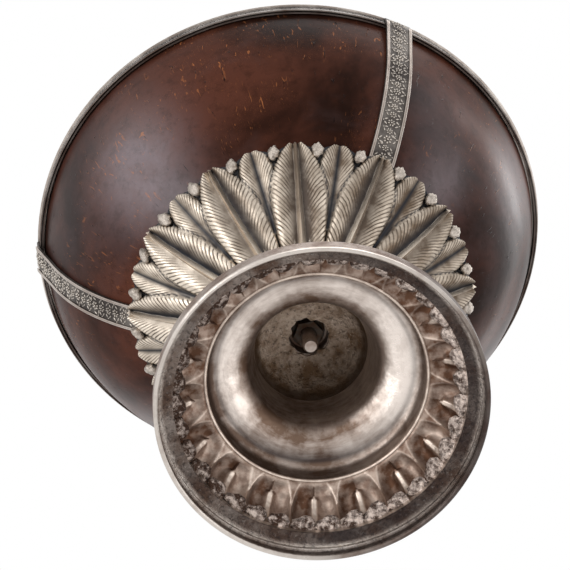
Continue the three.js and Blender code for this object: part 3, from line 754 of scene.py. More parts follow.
class MotifPattern:
    """Geometry Nodes that set a copy of a small motif on each point, facing as the point says."""

    def __init__(self, name: str, scale_spread: float = 0.1, turn_spread: float = 0.2, seed: int = 7) -> None:
        """Builds the node tree.

        Args:
            name: the tree's name.
            scale_spread: how far the copies' sizes differ from 1.
            turn_spread: how far the copies turn at random about the way they face, in radians.
            seed: the seed of both.
        """
        self.values = {"Scale Spread": scale_spread, "Turn Spread": turn_spread, "Seed": seed}
        self.tree = bpy.data.node_groups.new(name, "GeometryNodeTree")
        face = self.tree.interface
        face.new_socket("Geometry", in_out="INPUT", socket_type="NodeSocketGeometry")
        face.new_socket("Motif", in_out="INPUT", socket_type="NodeSocketObject")
        face.new_socket("Scale Spread", in_out="INPUT", socket_type="NodeSocketFloat")
        face.new_socket("Turn Spread", in_out="INPUT", socket_type="NodeSocketFloat")
        face.new_socket("Seed", in_out="INPUT", socket_type="NodeSocketInt")
        face.new_socket("Finish", in_out="INPUT", socket_type="NodeSocketMaterial")
        face.new_socket("Geometry", in_out="OUTPUT", socket_type="NodeSocketGeometry")
        self._wire()

    def _node(self, kind: str) -> bpy.types.Node:
        """Adds a node to the tree."""
        return self.tree.nodes.new(kind)

    def _direction(self, name: str) -> bpy.types.NodeSocket:
        """Reads one of the points' directions."""
        node = self._node("GeometryNodeInputNamedAttribute")
        node.data_type = "FLOAT_VECTOR"
        node.inputs["Name"].default_value = name
        return node.outputs["Attribute"]

    def _spread(self, middle: float, amount: bpy.types.NodeSocket, seed: bpy.types.NodeSocket) -> bpy.types.NodeSocket:
        """Gives each point a random number around a middle one."""
        link = self.tree.links.new
        random = self._node("FunctionNodeRandomValue")
        random.data_type = "FLOAT"
        for operation, socket in (("SUBTRACT", 2), ("ADD", 3)):
            end = self._node("ShaderNodeMath")
            end.operation = operation
            end.inputs[0].default_value = middle
            link(amount, end.inputs[1])
            link(end.outputs[0], random.inputs[socket])
        link(seed, random.inputs["Seed"])
        return random.outputs[1]

    def _wire(self) -> None:
        """Wires the tree: place, turn, scale, realise and finish."""
        link = self.tree.links.new
        given = self._node("NodeGroupInput").outputs
        motif = self._node("GeometryNodeObjectInfo")
        link(given["Motif"], motif.inputs["Object"])
        axes = self._node("FunctionNodeAxesToRotation")
        axes.primary_axis = "Z"
        axes.secondary_axis = "X"
        link(self._direction("facing"), axes.inputs[0])
        link(self._direction("along"), axes.inputs[1])
        twist = self._node("FunctionNodeAxisAngleToRotation")
        twist.inputs["Axis"].default_value = (0, 0, 1)
        link(self._spread(0.0, given["Turn Spread"], given["Seed"]), twist.inputs["Angle"])
        turned = self._node("FunctionNodeRotateRotation")
        turned.rotation_space = "LOCAL"
        link(axes.outputs[0], turned.inputs[0])
        link(twist.outputs[0], turned.inputs[1])
        copies = self._node("GeometryNodeInstanceOnPoints")
        link(given["Geometry"], copies.inputs["Points"])
        link(motif.outputs["Geometry"], copies.inputs["Instance"])
        link(turned.outputs[0], copies.inputs["Rotation"])
        link(self._spread(1.0, given["Scale Spread"], given["Seed"]), copies.inputs["Scale"])
        real = self._node("GeometryNodeRealizeInstances")
        link(copies.outputs[0], real.inputs[0])
        finish = self._node("GeometryNodeSetMaterial")
        link(real.outputs[0], finish.inputs["Geometry"])
        link(given["Finish"], finish.inputs["Material"])
        link(finish.outputs[0], self._node("NodeGroupOutput").inputs[0])

    def cover(
        self,
        name: str,
        places: Array,
        facing: Array,
        along: Array,
        motif: bpy.types.Object,
        finish: bpy.types.Material,
        tarnish: Array | None = None,
    ) -> bpy.types.Object:
        """Sets the motif on the places and gives back a plain mesh object.

        Args:
            name: the new object's name.
            places: where the copies stand.
            facing: the way each copy's Z axis points.
            along: the way each copy's X axis points.
            motif: the motif, which is removed afterwards.
            finish: the finish.
            tarnish: how tarnished each copy is.

        Returns:
            The new object.
        """
        mesh = bpy.data.meshes.new(name)
        mesh.from_pydata(places.tolist(), [], [])
        if tarnish is not None:
            mesh.attributes.new("tarnish", "FLOAT", "POINT").data.foreach_set("value", tarnish)
        for key, value in (("facing", facing), ("along", along)):
            mesh.attributes.new(key, "FLOAT_VECTOR", "POINT").data.foreach_set("vector", value.ravel())
        piece = bpy.data.objects.new(name, mesh)
        bpy.context.scene.collection.objects.link(piece)
        modifier = piece.modifiers.new("pattern", "NODES")
        modifier.node_group = self.tree
        keys = {item.name: item.identifier for item in self.tree.interface.items_tree if item.in_out == "INPUT"}
        for key, value in {**self.values, "Motif": motif, "Finish": finish}.items():
            modifier[keys[key]] = value
        bpy.context.view_layer.update()
        evaluated = piece.evaluated_get(bpy.context.evaluated_depsgraph_get())
        plain = bpy.data.meshes.new_from_object(evaluated)
        piece.modifiers.clear()
        piece.data = plain
        plain.name = name
        bpy.data.objects.remove(motif)
        return piece


def ball(centre: tuple[float, float, float], radii: tuple[float, float, float], turn: float = 0.0) -> bmesh.types.BMesh:
    """Makes a small flattened ball as part of a motif."""
    work = bmesh.new()
    place = Matrix.Translation(centre) @ Matrix.Rotation(turn, 4, "Z") @ Matrix.Diagonal((*radii, 1))
    bmesh.ops.create_uvsphere(work, u_segments=6, v_segments=4, radius=1, matrix=place)
    return work


def motif_object(name: str, parts: list[bmesh.types.BMesh]) -> bpy.types.Object:
    """Joins the parts of a motif into one smooth object."""
    whole = bmesh.new()
    for part in parts:
        mesh = bpy.data.meshes.new("part")
        part.to_mesh(mesh)
        part.free()
        whole.from_mesh(mesh)
        bpy.data.meshes.remove(mesh)
    mesh = bpy.data.meshes.new(name)
    whole.to_mesh(mesh)
    whole.free()
    mesh.shade_smooth()
    motif = bpy.data.objects.new(name, mesh)
    bpy.context.scene.collection.objects.link(motif)
    return motif


def rosette(size: float) -> bpy.types.Object:
    """Makes the rolled ornament's rosette: a ring of petals, a bead and a leaf to each side."""
    parts = [ball((0, 0, 0.1 * size), (0.2 * size, 0.2 * size, 0.2 * size))]
    petals = 7
    for turn in 2 * np.pi * np.arange(petals) / petals:
        place = (0.5 * size * math.cos(turn), 0.5 * size * math.sin(turn), 0.0)
        parts.append(ball(place, (0.24 * size, 0.17 * size, 0.2 * size), turn))
    for side in (-1, 1):
        for way in (-1, 1):
            place = (way * 1.05 * size, side * 0.42 * size, 0.0)
            parts.append(ball(place, (0.42 * size, 0.15 * size, 0.16 * size), -way * side * 0.6))
        parts.append(ball((side * 1.5 * size, 0, 0), (0.16 * size, 0.16 * size, 0.15 * size)))
    return motif_object("rosette", parts)


def lump(length: float, width: float, height: float) -> bpy.types.Object:
    """Makes one lens-shaped lump of rough solder."""
    work = bmesh.new()
    bmesh.ops.create_icosphere(work, subdivisions=3, radius=1)
    rng = np.random.default_rng(11)
    waves = rng.normal(size=(9, 3)) * 5
    phases = rng.uniform(0, 6, 9)
    for vertex in work.verts:
        swell = 1 + 0.05 * float(np.sin(waves @ np.array(vertex.co) + phases).sum())
        vertex.co = Vector((vertex.co.x * length / 2, vertex.co.y * width / 2, vertex.co.z * height / 2)) * swell
    return motif_object("lump", [work])


def shown(piece: bpy.types.Object, slot: Slot, *nodes: str) -> bpy.types.Object:
    """Sets a piece on the cup's one body in place of CAD nodes, and reports it.

    Args:
        piece: the finished piece.
        slot: the record's slot for its finish; not used.
        nodes: the CAD nodes that it stands for.

    Returns:
        The piece.
    """
    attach(piece, "root")
    if nodes:
        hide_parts(*nodes)
    LOG.info("%s: %d vertices", piece.name, len(piece.data.vertices))
    return piece


def circle(radius: float, height: float, size: float, count: int) -> Array:
    """Gives a round section of a ring as [radius, height] points."""
    turn = turns(count)
    return np.stack([radius + size * np.cos(turn), height + size * np.sin(turn)], axis=1)


def quarter(start: tuple[Array | float, float], end: tuple[Array | float, float], steps: int) -> Array:
    """Gives a quarter of an ellipse that starts upright and ends level.

    Args:
        start: its first radius and height. A radius may be a column with one value for each azimuth.
        end: its last radius and height.
        steps: how many points it has.

    Returns:
        Its [radius, height] points, for each azimuth where a radius is a column.
    """
    turn = np.linspace(0, np.pi / 2, steps)
    radius = end[0] + (start[0] - end[0]) * np.cos(turn)
    height = start[1] + (end[1] - start[1]) * np.sin(turn)
    return np.stack(np.broadcast_arrays(radius, height), axis=-1)


def unevenness(azimuths: Array, waves: tuple[int, ...], seed: int) -> Array:
    """Gives a smooth random value of about -1 to 1 all round a piece."""
    phases = np.random.default_rng(seed).uniform(0, 2 * np.pi, len(waves))
    return np.cos(azimuths[:, None] * np.array(waves) + phases).sum(axis=1) / math.sqrt(len(waves))


@dataclass(frozen=True)
class FootBase:
    """The foot's moulded base ring, polished where it stands, with painted shade in its channel underneath and towards
    one side, and a painted highlight along the channel's step.
    """

    wall: float = 0.9 * MM
    plinth: float = 3.8 * MM
    plinth_round: float = 0.7 * MM
    border_wall: float = 0.8 * MM
    overlap: float = 0.3 * MM
    edge: float = 0.25 * MM
    step_width: float = 0.55 * MM
    # The side towards which the ring is painted in shade.
    shaded_side: float = math.radians(35)
    columns: int = 240

    def build(self, finish: bpy.types.Material) -> bpy.types.Object:
        """Builds the ring."""
        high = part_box("foot_base_ring")[1]
        radius, top = high[0], high[2]
        ledge = self.plinth + self.plinth_round
        line = straight_line([*self._outside(radius, ledge, top), *self._inside(radius, ledge, top)], 0.4 * MM)
        r, z = line[:, 0], line[:, 1]
        # wall is the plinth's outer wall, darkened brown; channel is the channel underneath, darkened as painted shade.
        wall = smoothstep(radius - 0.5 * MM, radius, r) * smoothstep(0.2 * MM, 1.2 * MM, z)
        channel = (r < radius - 0.6 * MM) * smoothstep(0.15 * MM, 0.9 * MM, z) * (z <= ledge + 0.1 * MM)
        azimuths = turns(self.columns)
        uneven = 0.1 * unevenness(azimuths, (2, 3, 5, 11, 17), seed=2)[:, None]
        # Painted shade: the wall, the channel and the standing edge are darker towards one side.
        side_shade = 0.5 + 0.5 * np.cos(azimuths - self.shaded_side)[:, None]
        stand = (z < 0.3 * MM) * smoothstep(0.5, 1.0, side_shade)
        # Painted highlight: a bright line of uneven strength along the channel's step.
        painted_light_and_wear = 0.55 * np.exp(-(((r - self._step_radius(radius)) / (0.45 * MM)) ** 2)) * channel * (1 + 4 * uneven)
        values = {
            "tarnish": np.clip((0.75 + 0.2 * side_shade) * (wall + channel) + 0.9 * stand - painted_light_and_wear, 0, 1),
            "groove": np.clip(0.8 * side_shade * (wall + stand) + (0.4 + 0.4 * side_shade + uneven) * channel - painted_light_and_wear, 0, 1),
            "pitted": np.broadcast_to(channel + 0.2 * wall, (1, len(r))),
        }
        ring = ring_object("foot_base", azimuths, line, values, finish, sharp=40)
        return shown(ring, Slot.SILVER_DARK, "foot_base_ring")

    def _step_radius(self, radius: float) -> float:
        """Gives where the channel's step runs."""
        return radius - self.wall - self.step_width

    def _outside(self, radius: float, ledge: float, top: float) -> list[tuple[float, float]]:
        """Gives the outside from the standing edge up to the border."""
        border = BORDER_RADIUS
        rounding = self.plinth_round
        return [
            (radius - self.edge, 0), (radius, self.edge), (radius, self.plinth),
            (radius - 0.2 * rounding, ledge - rounding / 2), (radius - 0.6 * rounding, ledge - rounding / 5),
            ((radius + border) / 2, ledge), (border + 0.75 * MM, (2 * ledge + top) / 3), (border + self.overlap, top),
        ]

    def _inside(self, radius: float, ledge: float, top: float) -> list[tuple[float, float]]:
        """Gives the channel underneath, with its step, back to the standing edge."""
        inner = BORDER_RADIUS - self.border_wall - self.overlap
        hollow = radius - self.wall
        step = self._step_radius(radius)
        return [
            (inner, top), (inner, ledge), (hollow - 2 * self.wall, ledge - 0.2 * MM),
            (hollow - self.wall, self.plinth - 0.2 * MM), (step, self.plinth - 0.4 * MM),
            (step, self.plinth - self.wall - 0.3 * MM), (hollow, self.plinth - self.wall - 0.6 * MM),
            (hollow, self.edge), (hollow + self.edge, 0),
        ]


@dataclass(frozen=True)
class BorderLeaf:
    """A round-headed leaf of the foot's border: two puffed lobes beside a sunk midrib.

    Shares of the border's width are named for where they lie between the leaf's head, 0, and its
    foot, 1, where the midrib splits round a small three-cornered facet.
    """

    midrib: float = 1.0 * MM
    arch: float = 0.62
    head: float = 0.55
    midrib_from: float = 0.24
    split_from: float = 0.74
    facet: float = 2.1 * MM
    facet_level: float = 0.3
    line: float = 0.2 * MM

    def split(self, along: Array) -> Array:
        """Gives the midrib's half width, and past its split that of the facet."""
        opened = np.clip((along - self.split_from) / (1 - self.split_from), 0, 1)
        return self.midrib / 2 + (self.facet - self.midrib / 2) * opened**0.8

    def half(self, along: Array, room: Array) -> Array:
        """Gives the leaf's half width, which the arch of its head narrows."""
        left = np.clip((self.arch - along) / self.arch, 0, 1)
        return room * (self.head + (1 - self.head) * np.sqrt(1 - left**2))

    def height(self, along: Array, aside: Array, room: Array) -> Array:
        """Gives the relief, 0 to 1."""
        half = np.maximum(self.half(along, room), 1e-9)
        rib = np.minimum(self.split(along), 0.8 * half)
        ribbed = smoothstep(self.midrib_from - 0.06, self.midrib_from + 0.06, along)
        lobe = np.sin(np.pi * np.clip((aside - rib) / (half - rib), 0, 1)) ** 0.8
        head = np.cos(np.pi / 2 * np.clip(aside / half, 0, 1)) ** 0.7 * smoothstep(0, 0.14, along)
        facet = self.facet_level * smoothstep(rib, rib - 0.5 * MM, aside) * (along > self.split_from + 0.05)
        return (lobe * ribbed + head * (1 - ribbed)) * (aside < half) * (aside > rib * ribbed) + facet

    def lines(self, along: Array, aside: Array, room: Array) -> tuple[Array, Array]:
        """Gives where the bright midrib and the thin bright outlines run, 0 to 1."""
        half = self.half(along, room)
        length = smoothstep(self.midrib_from, self.midrib_from + 0.08, along)
        length = length * (1 - smoothstep(self.split_from, self.split_from + 0.1, along))
        bar = smoothstep(0.75 * self.midrib, 0.4 * self.midrib, aside) * length
        outline = np.exp(-(((aside - half) / self.line) ** 2))
        fork = np.exp(-(((aside - self.split(along)) / self.line) ** 2)) * smoothstep(0.7, 0.76, along)
        return bar, np.maximum(0.7 * outline * smoothstep(1.0, 0.7, along), fork)


@dataclass(frozen=True)
class LeafBorder:
    """The foot's stamped border: round-headed leaves, hollow underneath, and the solder below them."""

    leaves: int = 18
    azimuth: float = math.radians(3)
    wall: float = 0.8 * MM
    top_radius: float = 23.6 * MM
    bulge: float = 1.5 * MM
    relief: float = 1.7 * MM
    joint_wire: float = 0.4 * MM
    scallops: int = 36
    scallop_width: float = 3.3 * MM
    scallop_height: float = 1.5 * MM
    # The side towards which the solder lumps are painted lighter.
    lit_side: float = math.radians(20)
    columns_per_leaf: int = 44
    rows: int = 48

    def build(self, finish: bpy.types.Material, solder: bpy.types.Material) -> None:
        """Builds the border, the worn wire at its upper edge and the rough solder at its lower one."""
        low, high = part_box("foot_leaf_border")
        radius, bottom, rise = BORDER_RADIUS, low[2], high[2] - low[2]
        run = radius - self.top_radius
        normal = np.array([rise, run]) / math.hypot(run, rise)
        azimuths = turns(self.leaves * self.columns_per_leaf, self.azimuth)
        up = np.linspace(0, 1, self.rows)[None, :]
        ground = radius - run * up
        leaf = BorderLeaf()
        turn = off_nearest(azimuths, self.azimuth, self.leaves)[:, None]
        room = math.pi / self.leaves * ground
        height = leaf.height(1 - up, np.abs(turn) * ground, room)
        fade = np.clip(np.sin(np.pi * up), 0, 1) ** 0.4
        out = self.bulge * np.sin(np.pi * up) + self.relief * fade * height
        outside = np.stack([ground + out * normal[0], bottom + rise * up + out * normal[1]], axis=-1)
        inward = np.broadcast_to(self.wall * normal, outside.shape).copy()
        inward[:, (0, -1)] = (self.wall, 0)
        section = np.concatenate([outside, (outside - inward)[:, ::-1]], axis=1)
        bar, lines = leaf.lines(1 - up, np.abs(turn) * ground, room)
        values = self._colouring(azimuths, turn, height, bar, lines)
        border = ring_object("foot_border", azimuths, section, values, finish)
        shown(border, Slot.SILVER, "foot_leaf_border")
        wire = circle(self.top_radius - self.wall, bottom + rise - self.joint_wire / 3, self.joint_wire, 12)
        worn = {"tarnish": np.full(len(wire), 0.2)}
        shown(ring_object("foot_joint_wire", azimuths, wire, worn, finish), Slot.SILVER)
        self._solder(radius, bottom, solder)

    def _colouring(
        self, azimuths: Array, turn: Array, height: Array, bar: Array, lines: Array
    ) -> dict[str, Array]:
        """Gives the attributes: from below, midribs and outlines are worn bright, lobes are brown, and painted shade
        darkens one side of each lobe and the border towards azimuth 0.
        """
        # Painted shade: one side of each lobe, and the border towards azimuth 0, are darker.
        side = np.sign(turn) * smoothstep(0.2, 0.8, height)
        uneven = 0.12 * unevenness(azimuths, (1, 2, 3, 7, 13, 19), seed=8)[:, None]
        shaded = 0.07 * np.cos(azimuths)[:, None]
        brown = 0.72 + 0.12 * smoothstep(0.2, 0.8, height) + 0.12 * side + uneven + shaded
        under = np.clip(brown - 0.85 * bar - 0.5 * lines, 0, 1)
        deep = np.clip(0.14 + 0.12 * side, 0, 1) * (1 - bar) * (1 - lines)
        over = np.clip(0.45 - 0.3 * height, 0, 1)
        dark = 0.6 * (1 - smoothstep(0.02, 0.3, height))
        return {
            "tarnish": np.concatenate([over, under[:, ::-1]], axis=1),
            "groove": np.concatenate([dark, deep[:, ::-1]], axis=1),
        }

    def _solder(self, radius: float, bottom: float, solder: bpy.types.Material) -> None:
        """Sets the lumps of solder under the border's outer edge."""
        where = turns(self.scallops, self.azimuth + math.pi / self.scallops)
        ring = radius - 0.55 * self.scallop_width
        radial = np.stack([np.cos(where), np.sin(where), 0 * where], axis=1)
        places = ring * radial + [0, 0, bottom + self.scallop_height / 3]
        facing = -0.45 * radial + [0, 0, -0.9]
        along = np.stack([-np.sin(where), np.cos(where), 0 * where], axis=1)
        pattern = MotifPattern("solder_pattern", scale_spread=0.12, turn_spread=0.2, seed=3)
        motif = lump(2.1 * math.pi * ring / self.scallops, self.scallop_width, self.scallop_height)
        # Painted light: the lumps are lighter towards one side and darker away from it.
        tarnish = 0.72 - 0.35 * np.cos(where - self.lit_side)
        shown(pattern.cover("foot_solder", places, facing, along, motif, solder, tarnish), Slot.SILVER)


@dataclass(frozen=True)
class Trumpet:
    """The foot's smooth trumpet, with a painted highlight band and painted shade on its flare, brown in the cove and
    dark in the well, both darker on one side as painted shade.
    """

    wall: float = 0.8 * MM
    cove: float = 3.9 * MM
    # Painted light: the two sides towards which the inside is painted darker and lighter.
    shaded_side: float = math.radians(108)
    lit_side: float = math.radians(10)
    # Where the painted highlight band round the flare lies, and how wide it is.
    highlight_inset: float = 4.2 * MM
    highlight_reach: float = 2.9 * MM
    # Where the painted darker ring near the cove's edge lies, and how wide it is.
    shaded_band_inset: float = 3.3 * MM
    shaded_band_reach: float = 1.5 * MM
    mark_turn: float = 0.3
    mark_width: float = 0.9 * MM
    columns: int = 288
    steps: int = 90

    def build(self, finish: bpy.types.Material) -> bpy.types.Object:
        """Builds the trumpet."""
        low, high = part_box("foot_trumpet")
        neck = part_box("stem_dome")[1][0]
        below = self._lining(high[0] - self.wall, neck - self.wall, low[2], high[2])
        above = beside(below, -self.wall)
        above[0] = (high[0], low[2])
        above[-1] = (neck, high[2])
        azimuths = turns(self.columns)
        tarnish, groove = self._painted_light_and_wear(azimuths, below[:, 0], below[:, 1], low[2])
        plain = np.full((self.columns, len(above)), 0.36)
        section = np.concatenate([above, below[::-1]])
        values = {
            "tarnish": np.concatenate([plain, tarnish[:, ::-1]], axis=1),
            "groove": np.concatenate([0 * plain, groove[:, ::-1]], axis=1),
            "grain": self._turning(azimuths, section),
        }
        piece = ring_object("foot_flare", azimuths, section, values, finish)
        return shown(piece, Slot.SILVER, "foot_trumpet")

    def _turning(self, azimuths: Array, section: Array) -> Array:
        """Gives coordinates in which the marks of polishing are long round the trumpet and narrow across."""
        shape = (len(azimuths), len(section))
        around = np.stack([np.cos(azimuths), np.sin(azimuths)], axis=1)[:, None, :] / self.mark_turn
        across = section.sum(axis=1)[None, :, None] / self.mark_width
        return np.concatenate([np.broadcast_to(around, (*shape, 2)), np.broadcast_to(across, (*shape, 1))], axis=-1)

    def _lining(self, inner: float, neck: float, bottom: float, top: float) -> Array:
        """Gives the inside line: a steep cove, a nearly flat flare and the well of the neck."""
        flare = inner - neck
        step = bottom + self.cove
        rise = top - step
        knots = [
            (inner, bottom), (inner - 0.03 * flare, bottom + self.cove / 2), (inner - 0.13 * flare, step),
            (inner - 0.5 * flare, step + 0.08 * rise), (inner - 0.76 * flare, step + 0.2 * rise),
            (inner - 0.88 * flare, step + 0.42 * rise), (neck, top),
        ]
        return smooth_line(knots, self.steps)

    def _painted_light_and_wear(self, azimuths: Array, radius: Array, height: Array, bottom: float) -> tuple[Array, Array]:
        """Gives how tarnished and how black the inside is, with a painted highlight band round the flare and painted
        shade by azimuth.
        """
        step = bottom + self.cove
        edge = step + 0.35 * MM
        cove = 1 - smoothstep(edge - 0.4 * MM, edge + 0.2 * MM, height)
        seams = np.exp(-(((height - edge) / (0.12 * MM)) ** 2)) + np.exp(-(((height - bottom) / (0.5 * MM)) ** 2))
        # A painted darker ring near the cove's edge, strongest on the shaded side.
        shaded_band = np.exp(-(((radius - radius.max() + self.shaded_band_inset) / self.shaded_band_reach) ** 2)) * (1 - cove)
        well = smoothstep(step + 1.2 * MM, step + 4.5 * MM, height)
        streaks = unevenness(azimuths, (1, 2, 3, 5, 8, 13), seed=6)[:, None]
        fine = unevenness(azimuths, (21, 34, 47, 61, 83), seed=16)[:, None]
        shaded = np.clip(np.cos(azimuths - self.shaded_side), 0, 1)[:, None] ** 2
        flare = (1 - cove) * (1 - well)
        # Painted highlight: a bright band round the flare. The flare's tarnish is this band and painted shade, with
        # real polishing streaks.
        band = np.exp(-(((radius - radius.max() + self.highlight_inset) / self.highlight_reach) ** 4))
        painted_light_and_wear = 0.55 * (1 - band) + 0.25 * shaded + 0.08 * streaks + 0.03 * fine
        # Painted light by azimuth: the flare is lightest towards one side and darker at right angles to it; the cove
        # and the well are painted darker on the opposite side.
        right = np.cos(azimuths - self.lit_side)[:, None]
        left = np.clip(-right, 0, 1)
        painted_light_and_wear = painted_light_and_wear + 0.08 - 0.16 * right + 0.42 * (1 - right**2)
        tarnish = painted_light_and_wear * flare + (0.76 + 0.24 * left) * cove + (0.7 - 0.2 * right) * well
        groove = (0.16 + 0.34 * left) * cove + 0.4 * seams + (0.04 + 0.45 * shaded) * shaded_band
        groove = groove + 0.1 * shaded * flare + (0.1 - 0.08 * right) * well
        return np.clip(tarnish, 0, 1), np.clip(groove, 0, 1)


@dataclass(frozen=True)
class StemDome:
    """The domed top of the stem, with the rough hole through which the nut is reached."""

    wall: float = 0.9 * MM
    trumpet_wall: float = 0.8 * MM
    hole: float = 4.1 * MM
    raggedness: float = 0.3 * MM
    shoulder: float = 1.6 * MM
    # How far in from the edge the bend into the trumpet is painted dark as shade.
    edge_shade_inset: float = 2.6 * MM
    # The side towards which the dome's lining is painted in shade.
    shaded_side: float = math.radians(75)
    columns: int = 160
    steps: int = 40

    def build(self, finish: bpy.types.Material) -> bpy.types.Object:
        """Builds the dome."""
        low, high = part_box("stem_dome")
        radius, bottom, top = high[0], low[2], high[2]
        edge = radius - self.shoulder
        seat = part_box("stem_collar")[1][0]
        azimuths = turns(self.columns)
        hole = self.hole + self.raggedness * unevenness(azimuths, (3, 5, 8, 13), seed=4)[:, None]
        flange = np.array([(radius, bottom), (radius, bottom + self.wall)])
        above = quarter((edge + self.wall, bottom + self.wall), (seat, top), self.steps)
        lip = np.stack([hole, np.full_like(hole, top)], axis=-1)
        below = quarter((radius - self.trumpet_wall, bottom), (hole, top - self.wall), self.steps)[:, ::-1]
        parts = [np.broadcast_to(part, (self.columns, *part.shape[-2:])) for part in (flange, above, lip, below)]
        outer = len(flange) + len(above) + 1
        # Painted shade: the lining is darker towards one side and towards its outer edge, and the bend into the trumpet
        # near the edge is painted dark.
        side_shade = 0.5 + 0.5 * np.cos(azimuths - self.shaded_side)[:, None]
        shaded = side_shade**1.5 * np.linspace(0.45, 1, self.steps)
        bend = smoothstep(radius - self.edge_shade_inset, radius - self.edge_shade_inset / 2, below[..., 0])
        lining = (0.5 + 0.5 * shaded) * (1 - bend) + 0.9 * bend
        black = (0.05 + 0.9 * shaded) * (1 - bend) + (0.5 + 0.3 * side_shade) * bend
        values = {
            "tarnish": np.concatenate([np.full((self.columns, outer), 0.3), lining], axis=1),
            "groove": np.concatenate([np.zeros((self.columns, outer)), black], axis=1),
            "pitted": np.concatenate([np.zeros((self.columns, outer)), 1 - 0.8 * bend], axis=1),
        }
        piece = ring_object("stem_top", azimuths, np.concatenate(parts, axis=1), values, finish)
        return shown(piece, Slot.SILVER, "stem_dome")


@dataclass(frozen=True)
class StemCollar:
    """The turned collar between the foot and the calyx, with the web that the nut pulls on."""

    waist: float = 5.6 * MM
    groove: float = 0.3 * MM
    hole: float = 4.1 * MM
    columns: int = 96
    step: float = 0.12 * MM

    def build(self, finish: bpy.types.Material) -> bpy.types.Object:
        """Builds the collar."""
        low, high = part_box("stem_collar")
        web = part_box("rod_washer")[1][2]
        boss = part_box("rod_boss")
        radius, bottom, top = high[0], low[2], high[2]
        rod, pocket = self._holes()
        middle, quarter_height = (bottom + top) / 2, (top - bottom) / 4
        slim = self.waist - self.groove
        moulding = quarter((radius, middle), (slim, middle + quarter_height), 10)
        outside = np.concatenate([
            [(self.waist, bottom), (self.waist, bottom + 0.3 * self.groove)],
            [(slim, middle - quarter_height)],
            (moulding * [1, -1] + [0, 2 * middle])[::-1][1:],
            moulding[1:],
            [(self.waist, top - 0.3 * self.groove), (self.waist, top)],
        ])
        inside = [(pocket, top), (pocket, boss[0][2]), (rod, boss[0][2]), (rod, web), (self.hole, web),
                  (self.hole, bottom), (self.waist, bottom)]
        line = np.concatenate([outside, straight_line(inside, self.step)[:-1]])
        dark = np.concatenate([np.zeros(len(outside)), np.ones(len(line) - len(outside))])
        values = {"tarnish": 0.2 + 0.6 * dark, "groove": 0.2 * dark}
        piece = ring_object("collar", turns(self.columns), line, values, finish, sharp=35)
        return shown(piece, Slot.SILVER, "stem_collar")

    def _holes(self) -> tuple[float, float]:
        """Gives the radii of the hole for the rod and of the pocket for its boss."""
        clearance = 0.3 * MM
        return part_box("threaded_rod")[1][0] + clearance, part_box("rod_boss")[1][0] + clearance


@dataclass(frozen=True)
class Fastening:
    """The threaded rod, and the plain fastenings that keep their CAD forms."""

    radius: float = 1.6 * MM
    pitch: float = 0.8 * MM
    depth: float = 0.12 * MM
    chamfer: float = 0.35 * MM
    columns: int = 48
    rows_per_turn: int = 6

    def build(self, finishes: Finishes) -> bpy.types.Object:
        """Builds the rod and gives the other pieces their finishes."""
        low, high = (corner[2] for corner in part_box("threaded_rod"))
        heights = np.arange(low + self.chamfer, high - self.chamfer, self.pitch / self.rows_per_turn)
        azimuths = turns(self.columns)
        phase = heights[None, :] / self.pitch * 2 * np.pi - azimuths[:, None]
        radii = self.radius - self.depth * (0.5 - 0.5 * np.cos(phase)) ** 2
        thread = np.stack(np.broadcast_arrays(radii, heights), axis=-1)
        bottom = np.array([(0, low), (self.radius - self.chamfer, low)])
        top = np.array([(self.radius - self.chamfer, high), (0, high)])
        parts = [np.broadcast_to(part, (self.columns, *part.shape[-2:])) for part in (bottom, thread, top)]
        section = np.concatenate(parts, axis=1)
        worn = {"tarnish": np.full(section.shape[1], 0.6)}
        rod = ring_object("rod", azimuths, section, worn, finishes.foot, closed=False, sharp=40)
        for node, finish in (("rod_nut", finishes.iron), ("rod_washer", finishes.iron),
                             ("rod_boss", finishes.solder)):
            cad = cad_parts[node]
            cad.data.materials.clear()
            cad.data.materials.append(finish)
        return shown(rod, Slot.IRON, "threaded_rod")


